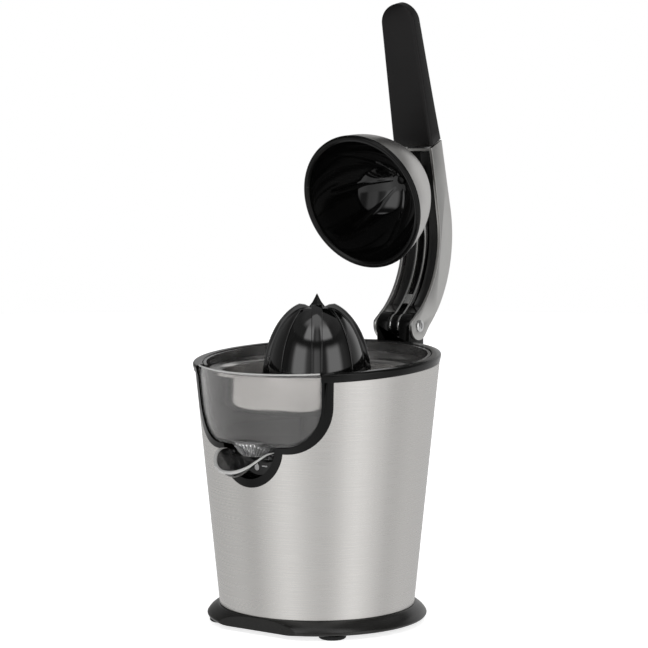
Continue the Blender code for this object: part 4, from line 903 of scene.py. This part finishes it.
def build_reamer():
    """Smooth dome with four flat-topped fins, four thin ridges and a four-sided point."""
    steps = 400
    side = []
    for i in range(steps + 1):
        share = math.sin(math.pi / 2 * i / steps)
        side.append((DOME_CROWN_R + (DOME_R - DOME_CROWN_R) * max(0.0, 1 - share ** 2.6) ** 0.62,
                     REAMER_BASE + (DOME_TOP - REAMER_BASE) * share))
    dome = [(0.0, REAMER_BASE)] + thin_out(side, 0.0011) + [(0.0, DOME_TOP)]
    reamer = solid("reamer_fine", turned(dome, FINE))

    blades = []
    for index in range(2):
        step = 0.00011 * index           # keeps the faces of crossing blades apart
        foot = REAMER_BASE + 0.0004 + step
        valley = DOME_TOP + 0.0005 + step
        crown = [(SHOULDER_R - 0.0040, REAMER_SHOULDER - 0.0005), (0.0064, valley)]
        fin = blade_outline(0.0, foot, REAMER_SHOULDER, crown)
        ridge = blade_outline(0.0023, foot + 0.0003, DOME_TOP - 0.0009 - step, [])
        for name, outline, half, edge, offset in (("fin", fin, FIN_HALF, 0.0006, 0.0),
                                                  ("ridge", ridge, 0.0006, 0.00025, math.pi / 4)):
            blade = solid(name, prism(outline, -half, half, "y"))
            soften(blade, edge, 3, 40.0)
            blade.data.transform(Matrix.Rotation(index * math.pi / 2 + offset, 4, "Z"))
            blades.append(blade)
    tip_rings = []
    for z, size in ((DOME_TOP - 0.0022, 0.0066), (DOME_TOP + 0.0009, 0.0056), (DOME_TOP + 0.0036, 0.0035),
                    (REAMER_TIP - 0.0030, 0.0017), (REAMER_TIP, 0.0003)):
        tip_rings.append([(size, 0.0, z), (0.0, size, z), (-size, 0.0, z), (0.0, -size, z)])
    blades.append(solid("point", skin(tip_rings)))
    for blade in blades:
        join(reamer, blade)
    reamer.data.transform(Matrix.Rotation(FIN_TURN, 4, "Z"))
    hollow = [(0.0120, 0.150), (0.0325, 0.150), (0.0325, 0.180), (0.0270, 0.200), (0.0180, 0.214),
              (0.0120, 0.214)]
    bore = solid("bore", rod((0, 0, 0.150), (0, 0, 0.198), 0.0043, MEDIUM))
    keep_inside(bore, solid("flats", block((-0.0033, -0.02, 0.14), (0.0033, 0.02, 0.25))))
    cut(reamer, solid("hollow", turned(hollow, MEDIUM)), bore)
    finish_piece(reamer, "ream_cone", "reamer_black", ["reamer"], sharp=40.0)


# ---------------------------------------------------------------- arm
def bow_point(turn, offset):
    return (BOW_Y + (BOW_R + offset) * math.cos(turn), BOW_Z + (BOW_R + offset) * math.sin(turn))


def arm_point(z, offset):
    """A point beside the straight upper arm's middle line at a height."""
    start_y, start_z = bow_point(ARM_LEAN, 0.0)
    along = (z - start_z) / math.cos(ARM_LEAN)
    y = start_y - along * math.sin(ARM_LEAN)
    return (y + offset * math.cos(ARM_LEAN), z + offset * math.sin(ARM_LEAN))


def strip_outline(front, rear, start_turn, top_z, top_rear=None):
    """Side outline of a strip that follows the arm, between two offsets from its middle line."""
    top_rear = rear if top_rear is None else top_rear
    turns = [start_turn + (ARM_LEAN - start_turn) * i / ARM_STEPS for i in range(ARM_STEPS + 1)]
    return ([bow_point(t, rear) for t in turns] + [arm_point(top_z, top_rear), arm_point(top_z, front)]
            + [bow_point(t, front) for t in reversed(turns)])


def plate_outline():
    turns = [PIVOT_TURN + (ARM_LEAN - PIVOT_TURN) * i / ARM_STEPS for i in range(4, ARM_STEPS + 1)]
    rear = [bow_point(t, ARM_HALF) for t in turns] + [arm_point(0.325, 0.0083)]
    top = [arm_point(ARM_TOP_Z + 0.0030, ARM_TOP_HALF + 0.0006), arm_point(ARM_TOP_Z, -ARM_TOP_HALF)]
    front = [arm_point(0.325, -0.0078)] + [bow_point(t, -ARM_HALF) for t in reversed(turns)]
    return rear + top + front + arc((PIVOT_Y, PIVOT_Z), ARM_END_R, 160, 325, 30)


def build_arm():
    for side, sign in (("left", -1), ("right", 1)):
        low, high = sorted((sign * (ARM_X - PLATE), sign * ARM_X))
        plate = solid(f"arm_plate_{side}_fine", prism(plate_outline(), low, high, "x"))
        cut(plate, solid("hole", rod((sign * 0.010, PIVOT_Y, PIVOT_Z), (sign * 0.03, PIVOT_Y, PIVOT_Z), 0.0027)))
        soften(plate, 0.0005, 3, 40.0)
        finish_piece(plate, "press_arm", "satin_metal", [f"arm_plate_{side}"], sharp=50.0)

    inside = ARM_X - PLATE - GAP
    start = PIVOT_TURN + 0.0180 / BOW_R
    channel = solid("arm_channel_fine", prism(strip_outline(CHANNEL_FRONT, ARM_HALF - 0.0010, start, CHANNEL_TOP_Z,
                                                            ARM_TOP_HALF - 0.0006), -inside, inside, "x"))
    groove = strip_outline(-0.020, ARM_HALF - 0.0062, start - 0.1, 0.3700, 0.0012)
    cut(channel, solid("groove", prism(groove, -GROOVE_X, GROOVE_X, "x")))
    soften(channel, 0.0007, 3, 40.0)
    finish_piece(channel, "press_arm", "channel_black", ["arm_channel"], sharp=50.0)

    rail = solid("arm_rail_fine", prism(strip_outline(-ARM_HALF + 0.0004, ARM_HALF - 0.0066, PIVOT_TURN + 0.04,
                                                      0.3120), -RAIL_X, RAIL_X, "x"))
    join(rail, solid("rail_end", prism(arc((PIVOT_Y, PIVOT_Z), 0.0092, 0, 354, 59), -RAIL_X, RAIL_X, "x")))
    inner = RAIL_X - RAIL_SHEET
    trough = strip_outline(-0.020, ARM_HALF - 0.0082, PIVOT_TURN - 0.04, 0.3700)
    mouth = [(PIVOT_Y - 0.020, PIVOT_Z - 0.020), (PIVOT_Y - 0.0042, PIVOT_Z - 0.020),
             (PIVOT_Y - 0.0042, PIVOT_Z + 0.004), (PIVOT_Y + 0.004, PIVOT_Z + 0.012),
             (PIVOT_Y - 0.010, PIVOT_Z + 0.016), (PIVOT_Y - 0.020, PIVOT_Z + 0.010)]
    cut(rail, solid("trough", prism(trough, -inner, inner, "x")), solid("mouth", prism(mouth, -inner, inner, "x")),
        solid("bore", cross_rod(PIVOT_Y, PIVOT_Z, 0.02, HINGE_BORE_R)))
    soften(rail, 0.0003, 2, 50.0)
    finish_piece(rail, "press_arm", "rail_steel", ["arm_rail"], sharp=50.0)

    # black filler in the rail's slot, with a disc round the pivot over the pin: painted shade in the slot
    fill = inner - 0.0001
    slot = solid("rail_slot_shade_filler", prism(strip_outline(-0.0030, ARM_HALF - 0.0083, PIVOT_TURN + 0.03, 0.3110),
                                          -fill, fill, "x"))
    join(slot, solid("slot_end", prism(arc((PIVOT_Y, PIVOT_Z), 0.0078, 0, 354, 59), -fill - 0.00002,
                                       fill + 0.00002, "x")))
    cut(slot, solid("slot_bore", cross_rod(PIVOT_Y, PIVOT_Z, 0.02, HINGE_BORE_R)))
    finish_piece(slot, "press_arm", "slot_painted_shade")

    turns = [PIVOT_TURN + (SPACER_LOW + (SPACER_HIGH - SPACER_LOW) * i / 6) / BOW_R for i in range(7)]
    outline = [bow_point(turn, -ARM_HALF + 0.0006) for turn in turns]
    outline += [bow_point(turn, -ARM_HALF + 0.0034) for turn in reversed(turns)]
    piece = solid("rail_spacer_fine", prism(outline, -inner + GAP, inner - GAP, "x"))
    soften(piece, 0.0003, 2, 50.0)
    finish_piece(piece, "press_arm", "rail_steel", ["rail_spacer"])
    build_pivot_screws()


def screw_head(name, profile, cross, origin, direction, top):
    """A turned screw with a cross recess sunk into its head."""
    head = solid(name, turned(profile, SMALL))
    width, length, depth = cross
    for low, high in (((-width, -length), (width, length)), ((-length, -width), (length, width))):
        cut(head, solid("recess", block((*low, top - depth), (*high, top + 0.002))))
    head.data.transform(standing(origin, direction))
    return head


def build_pivot_screws():
    profile = [(0.0, 0.0), (0.0024, 0.0), (0.0024, 0.0030), (0.0046, 0.0030), (0.0045, 0.0036),
               (0.0038, 0.0042), (0.0020, 0.0044), (0.0, 0.0044)]
    for side, sign in (("left", -1), ("right", 1)):
        screw = screw_head(f"pivot_screw_{side}_fine", profile, (0.00045, 0.0022, 0.0012),
                           (sign * 0.0155, PIVOT_Y, PIVOT_Z), (sign, 0, 0), 0.0044)
        finish_piece(screw, "press_arm", "bright_screw", [f"pivot_screw_{side}"])


def grip_section(z_along, half_w, half_d, low_front=0.0, square=0.0):
    """The grip's cross-section: flat front and sides, with a rear that is squarer towards the arm."""
    wide = 0.98 + 0.02 * square
    rear = 0.66 + 0.31 * square
    deep = 0.45 + 0.45 * square
    corners = [(-half_w, -half_d * 0.78), (-half_w * 0.90, -half_d), (half_w * 0.90, -half_d),
               (half_w, -half_d * 0.78), (half_w * wide, half_d * deep), (half_w * rear, half_d),
               (-half_w * rear, half_d), (-half_w * wide, half_d * deep)]
    ring = []
    for x, offset in fillet(corners, 0.0012, 4):
        y, z = arm_point(z_along, offset)
        slant = low_front * (offset + half_d) / (2 * half_d)
        ring.append((x, y - slant * math.sin(ARM_LEAN), z + slant * math.cos(ARM_LEAN)))
    return ring


def build_grip():
    bottom = ARM_TOP_Z + 0.0009
    straight_top = GRIP_TOP_Z - 0.0150
    rings = [grip_section(bottom, GRIP_HALF_W - 0.0006, GRIP_HALF_D - 0.0002, 0.0030, 1.0),
             grip_section(bottom + 0.0006, GRIP_HALF_W, GRIP_HALF_D + 0.0003, 0.0030, 1.0)]
    steps = 12
    for i in range(1, steps + 1):
        t = i / steps
        rings.append(grip_section(bottom + (straight_top - bottom) * t,
                                  GRIP_HALF_W + (GRIP_TOP_HALF_W - GRIP_HALF_W) * t,
                                  GRIP_HALF_D + 0.0003 * (1 - t), 0.0030 * (1 - t), 1 - t))
    for turn in range(6, 90, 6):
        rise = math.sin(math.radians(turn))
        shrink = math.cos(math.radians(turn))
        rings.append(grip_section(straight_top + 0.0148 * rise, GRIP_TOP_HALF_W * shrink,
                                  GRIP_HALF_D * (0.45 + 0.55 * shrink)))
    grip = solid("handle_grip_fine", skin(rings))
    finish_piece(grip, "press_arm", "grip_black", ["handle_grip"], sharp=60.0)


# ---------------------------------------------------------------- hinge bracket
def build_hinge():
    front = PIVOT_Y - KNUCKLE_R
    rear = PIVOT_Y + KNUCKLE_R
    foot_y = shell_r(0.150) + 0.0008
    half = ARM_X - PLATE - GAP
    outline = arc((PIVOT_Y, PIVOT_Z), KNUCKLE_R, 0, 180, 36)
    outline += [(front, 0.1990), (0.0932, 0.1990), (0.0932, 0.1900), (shell_r(0.186) + 0.0008, 0.1860),
                (foot_y, 0.1500), (foot_y + 0.006, 0.1500), (rear - 0.008, 0.1800), (rear, 0.1960)]
    bracket = solid("hinge_bracket_fine", prism(outline, -half, half, "x"))
    slot = arc((PIVOT_Y, PIVOT_Z), 0.0125, 0, 180, 24) + [(front - 0.004, 0.2000), (rear + 0.004, 0.2000)]
    cut(bracket, solid("rail_slot", prism(slot, -RAIL_X - 0.0006, RAIL_X + 0.0006, "x")))
    cut(bracket, solid("bore", cross_rod(PIVOT_Y, PIVOT_Z, 0.03, 0.0031)))
    for z in (0.160, 0.175):
        cut(bracket, solid("hole", rod((0.0, 0.08, z), (0.0, 0.13, z), 0.0019, 24)))
    soften(bracket, 0.0007, 3, 35.0)
    finish_piece(bracket, "housing", "black_satin", ["hinge_bracket"], sharp=50.0)


# ---------------------------------------------------------------- press cup
def cup_radius(depth):
    share = min(1.0, depth / CUP_DEPTH)
    return (CUP_R - 0.0007) * max(0.0, 1 - share ** CUP_POWER) ** CUP_ROOT


def cup_wall(outer_gap, thickness, start, hole_r):
    """Profile of a cup-shaped wall: a gap inside the outer shape, open at both ends."""
    outside = []
    inside = []
    count = 48
    step = 0.00005
    for index in range(count + 1):
        depth = start + (CUP_DEPTH - start) * math.sin(math.pi / 2 * index / count) ** 0.9
        radius = cup_radius(depth)
        slope = (cup_radius(max(0.0, depth - step)) - radius) / step
        norm = math.hypot(1.0, slope)
        for wall, offset in ((outside, outer_gap), (inside, outer_gap + thickness)):
            wall.append((radius - offset / norm, depth - offset * slope / norm))
    outside = [(r, z) for r, z in outside if r > hole_r + 0.001]
    inside = [(r, z) for r, z in inside if r > hole_r + 0.001]
    apex = CUP_DEPTH - outer_gap
    outside.append((hole_r, apex))
    inside.append((hole_r, apex - thickness))
    return outside, inside


def build_cup():
    outside, inside = cup_wall(0.0, CUP_SHEET, 0.0020, HUB_R + GAP)
    shell = solid("cup_shell_fine", turned_about(outside + inside[::-1], FINE, CUP_RIM, CUP_AXIS))
    finish_piece(shell, "press_cup", "cup_metal", ["cup_shell"])

    build_liner()
    ring = [(0.0478, 0.0030), (0.0478, -0.0004), (0.0496, -0.0014), (CUP_R - 0.0012, -0.0014),
            (CUP_R, -0.0004), (CUP_R, 0.0016), (0.0500, 0.0016), (0.0492, 0.0030)]
    seal = solid("cup_seal_ring_fine", turned_about(fillet(ring, 0.0006), FINE, CUP_RIM, CUP_AXIS))
    finish_piece(seal, "press_cup", "black_satin", ["cup_seal_ring"])

    back = CUP_DEPTH - CUP_SHEET
    hub = [(0.0, back + 0.0002), (HUB_R, back + 0.0002), (HUB_R, CUP_DEPTH + 0.0004),
           (0.0085, CUP_DEPTH + 0.0004), (0.0085, CUP_DEPTH + 0.0022), (0.0080, CUP_DEPTH + 0.0026),
           (0.0, CUP_DEPTH + 0.0026)]
    hub = solid("cup_hub_fine", turned_about(hub, MEDIUM, CUP_RIM, CUP_AXIS))
    neck = block((-0.0045, -0.0040, -0.0040), (0.0045, 0.0045, 0.0040))
    neck.transform(Matrix.Translation(CUP_RIM + CUP_AXIS * (CUP_DEPTH + 0.0048))
                   @ Matrix.Rotation(CUP_TILT, 4, "X"))
    join(hub, solid("neck", neck),
         solid("tongue", cross_rod(CUP_PIN.y, CUP_PIN.z, 0.0045, 0.0046, MEDIUM)))
    cut(hub, solid("bore", cross_rod(CUP_PIN.y, CUP_PIN.z, 0.01, CUP_PIN_BORE_R)))
    finish_piece(hub, "press_cup", "black_satin", ["cup_hub"])


def build_liner():
    """Gloss liner with thin ribs that run from its apex towards the rim."""
    outside, inside = cup_wall(CUP_SHEET + GAP, LINER, 0.0034, 0.0030)
    ribs = 8
    sides = 24 * ribs
    rib_height = 0.0011
    bm = bmesh.new()
    rows = []
    for which, profile in (("out", outside), ("in", inside[::-1])):
        for radius, depth in profile:
            row = []
            for i in range(sides):
                turn = 2 * math.pi * i / sides
                r = radius
                if which == "in" and depth > 0.022 and radius > 0.006:
                    near = abs(((turn * ribs / (2 * math.pi)) + 0.5) % 1.0 - 0.5) * 2 * math.pi / ribs * radius
                    fade = min(1.0, (depth - 0.022) / 0.010) * min(1.0, (radius - 0.006) / 0.006)
                    r = radius - rib_height * fade * math.exp(-(near / 0.0009) ** 2)
                row.append(bm.verts.new((r * math.cos(turn), r * math.sin(turn), depth)))
            rows.append(row)
    rows.append(rows[0])
    wrap(bm, rows)
    bm.transform(standing(CUP_RIM, CUP_AXIS))
    liner = solid("cup_liner_fine", bm)
    finish_piece(liner, "press_cup", "cup_black", ["cup_liner"], sharp=45.0)


def build_carrier():
    back = CHANNEL_FRONT - GAP
    wall_y = arm_point(CUP_PIN.z, back)[0]
    outline = arc((CUP_PIN.y, CUP_PIN.z), 0.0050, 100, 260, 24)
    outline += [arm_point(CUP_PIN.z - 0.0090, back), arm_point(CUP_PIN.z + 0.0090, back)]
    carrier = solid("cup_carrier_fine", prism(outline, -0.0095, 0.0095, "x"))
    cut(carrier, solid("gap", block((-0.0048, CUP_PIN.y - 0.010, CUP_PIN.z - 0.020),
                                    (0.0048, wall_y - 0.0022, CUP_PIN.z + 0.020))))
    cut(carrier, solid("bore", cross_rod(CUP_PIN.y, CUP_PIN.z, 0.012, CUP_PIN_BORE_R)))
    soften(carrier, 0.0006, 3, 40.0)
    finish_piece(carrier, "press_arm", "black_satin", ["cup_carrier"], sharp=50.0)


# ---------------------------------------------------------------- return spring
def build_spring():
    """Round-wire coil with the collar above it."""
    rings = []
    steps = SPRING_TURNS * MEDIUM // 2
    low = SPRING_FOOT + SPRING_WIRE
    rise = SPRING_TOP - SPRING_WIRE - low
    for i in range(steps + 1):
        turn = 2 * math.pi * SPRING_TURNS * i / steps
        away = Vector((math.cos(turn), math.sin(turn), 0.0))
        middle = away * SPRING_R + Vector((0.0, 0.0, low + rise * i / steps))
        rings.append(bead_ring(middle, away, SPRING_WIRE, 10))
    spring = solid("return_spring_fine", skin(rings))
    finish_piece(spring, "press_carriage", "zinc_steel", ["return_spring"], sharp=60.0)
    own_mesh(spring)


# ---------------------------------------------------------------- carried-over nodes
DRESSING = {"liner_screw": "black_satin"}     # nodes finished otherwise than their slot's plain look


def dress_cad_nodes():
    """Give every CAD node that still shows the procedural material of its record slot."""
    slots = {entry["node"]: entry["material_slot"] for entry in frame["record"]["subparts"]}
    for name, node in frame["nodes"].items():
        material = MATERIALS[DRESSING.get(name, slots[name])]
        node.data.materials.clear()
        node.data.materials.append(material)
        node.data.shade_smooth()
        node.data.set_sharp_from_angle(angle=math.radians(35))


# ---------------------------------------------------------------- studio
def build_floor():
    """A pale floor that fades into the white surround."""
    bm = bmesh.new()
    bmesh.ops.create_circle(bm, cap_ends=True, radius=3.0, segments=96)
    mesh = bpy.data.meshes.new("studio_floor")
    bm.to_mesh(mesh)
    bm.free()
    floor = add_object("studio_floor", mesh)
    floor.location.z = -0.0001
    material, tree, shader = new_material("studio_white")
    shade_noise = grain(tree, 3.0, 2.0)
    tree.links.new(tint(tree, shade_noise, (0.93, 0.93, 0.93), (0.96, 0.96, 0.96)), shader.inputs["Base Color"])
    shader.inputs["Roughness"].default_value = 0.9
    shader.inputs["Specular IOR Level"].default_value = 0.0
    shader.inputs["Emission Color"].default_value = (1.0, 1.0, 1.0, 1.0)
    shader.inputs["Emission Strength"].default_value = FLOOR_GLOW
    mesh.materials.append(material)
    floor.visible_glossy = False      # polished pieces mirror the studio walls, not a floor without end


def wall_band(tree, share, levels):
    """Grey levels by compass angle in degrees, from -180 to 180, for one height of the studio walls."""
    node = tree.nodes.new("ShaderNodeValToRGB")
    node.color_ramp.interpolation = "EASE"
    ramp = node.color_ramp
    while len(ramp.elements) < len(levels):
        ramp.elements.new(0.5)
    for element, (angle, level) in zip(ramp.elements, levels):
        element.position = (angle + 180) / 360
        element.color = (level, level, level, 1.0)
    tree.links.new(share, node.inputs["Fac"])
    return node.outputs["Color"]


def fade(tree, height, start, end, below, above):
    """Blend two wall bands over a range of heights, as the sine of the elevation."""
    share = tree.nodes.new("ShaderNodeMapRange")
    share.interpolation_type = "SMOOTHSTEP"
    share.inputs["From Min"].default_value = start
    share.inputs["From Max"].default_value = end
    tree.links.new(height, share.inputs["Value"])
    mix = tree.nodes.new("ShaderNodeMix")
    mix.data_type = "RGBA"
    tree.links.new(share.outputs["Result"], mix.inputs["Factor"])
    tree.links.new(below, mix.inputs["A"])
    tree.links.new(above, mix.inputs["B"])
    return mix.outputs["Result"]


def build_world():
    """A studio: soft low walls, tall windows, small high windows and a roof lit from the front."""
    world = bpy.data.worlds.new("studio")
    bpy.context.scene.world = world
    world.use_nodes = True
    tree = world.node_tree
    background = tree.nodes["Background"]
    coords = tree.nodes.new("ShaderNodeTexCoord")
    split = tree.nodes.new("ShaderNodeSeparateXYZ")
    turn = tree.nodes.new("ShaderNodeMath")
    turn.operation = "ARCTAN2"
    share = tree.nodes.new("ShaderNodeMapRange")
    share.inputs["From Min"].default_value = -math.pi
    share.inputs["From Max"].default_value = math.pi
    tree.links.new(coords.outputs["Generated"], split.inputs["Vector"])
    tree.links.new(split.outputs["Y"], turn.inputs[0])
    tree.links.new(split.outputs["X"], turn.inputs[1])
    tree.links.new(turn.outputs["Value"], share.inputs["Value"])
    angle = share.outputs["Result"]
    height = split.outputs["Z"]
    low = wall_band(tree, angle, [(-180, 0.62), (-150, 0.70), (-126, 0.53), (-106, 0.80), (-88, 1.08),
                                  (-60, 0.72), (-44, 0.60), (-31, 0.78), (-14, 1.20), (6, 0.86), (30, 0.56),
                                  (50, 0.72), (75, 0.68), (130, 0.60), (180, 0.62)])
    tall = wall_band(tree, angle, [(-180, 0.15), (-160, 0.12), (-130, 0.08), (-120, 0.20), (-108, 1.55),
                                   (-88, 1.55), (-76, 0.40), (-68, 0.28), (-60, 0.80), (-48, 0.70),
                                   (-40, 0.18), (-34, 0.18), (-22, 1.55), (0, 1.55), (14, 0.25),
                                   (36, 0.12), (52, 0.35), (80, 0.80), (120, 0.55), (150, 0.20), (180, 0.15)])
    gap = wall_band(tree, angle, [(-180, 0.10), (-120, 0.08), (-20, 0.08), (40, 0.12), (180, 0.10)])
    high = wall_band(tree, angle, [(-180, 0.15), (-130, 0.15), (-100, 0.15), (-92, 1.9), (-72, 1.9),
                                   (-66, 0.3), (-52, 0.6), (-40, 0.2), (-34, 1.9), (-8, 1.9), (0, 0.15),
                                   (30, 0.2), (90, 0.3), (180, 0.15)])
    roof = wall_band(tree, angle, [(-180, 0.25), (-130, 0.25), (-112, 1.10), (-20, 1.10), (8, 0.25), (180, 0.25)])
    walls = fade(tree, height, -0.16, -0.06, low, tall)
    walls = fade(tree, height, 0.42, 0.54, walls, gap)
    walls = fade(tree, height, 0.60, 0.66, walls, high)
    walls = fade(tree, height, 0.80, 0.92, walls, roof)

    path = tree.nodes.new("ShaderNodeLightPath")
    seen = tree.nodes.new("ShaderNodeMix")
    seen.data_type = "RGBA"
    seen.inputs["B"].default_value = (1.0, 1.0, 1.0, 1.0)
    tree.links.new(path.outputs["Is Camera Ray"], seen.inputs["Factor"])
    tree.links.new(walls, seen.inputs["A"])
    tree.links.new(seen.outputs["Result"], background.inputs["Color"])
    background.inputs["Strength"].default_value = 1.0


def aim(obj, place, target):
    obj.location = place
    obj.rotation_euler = (Vector(target) - Vector(place)).to_track_quat("-Z", "Y").to_euler()


def build_lights():
    middle = (0.0, 0.0, 0.22)
    for name, place, width, height, power in (("key", (-0.9, -1.0, 1.3), 0.8, 0.8, 3.0),
                                              ("side", (1.5, 0.2, 0.6), 0.35, 1.2, 2.0),
                                              ("back", (-0.5, 1.3, 1.0), 0.8, 0.6, 3.0)):
        lamp = bpy.data.lights.new(name, "AREA")
        lamp.shape = "RECTANGLE"
        lamp.size = width
        lamp.size_y = height
        lamp.energy = power
        holder = add_object(name, lamp)
        holder.visible_glossy = False
        aim(holder, place, middle)


def build_camera():
    camera = bpy.data.cameras.new("camera")
    camera.sensor_width = 36.0
    camera.lens = CAMERA_LENS
    holder = add_object("camera", camera)
    holder.location = CAMERA_PLACE
    holder.rotation_euler = (math.pi / 2 - CAMERA_DROP, 0.0, CAMERA_TURN)
    bpy.context.scene.camera = holder


MATERIALS = make_materials()
build_camera()
dress_cad_nodes()
build_base()
build_shell()
build_top_frame()
build_bowl()
build_strainer()
build_spout()
build_reamer()
build_arm()
build_grip()
build_hinge()
build_cup()
build_carrier()
build_spring()
build_floor()
build_world()
build_lights()
bpy.context.scene.view_settings.view_transform = "Standard"
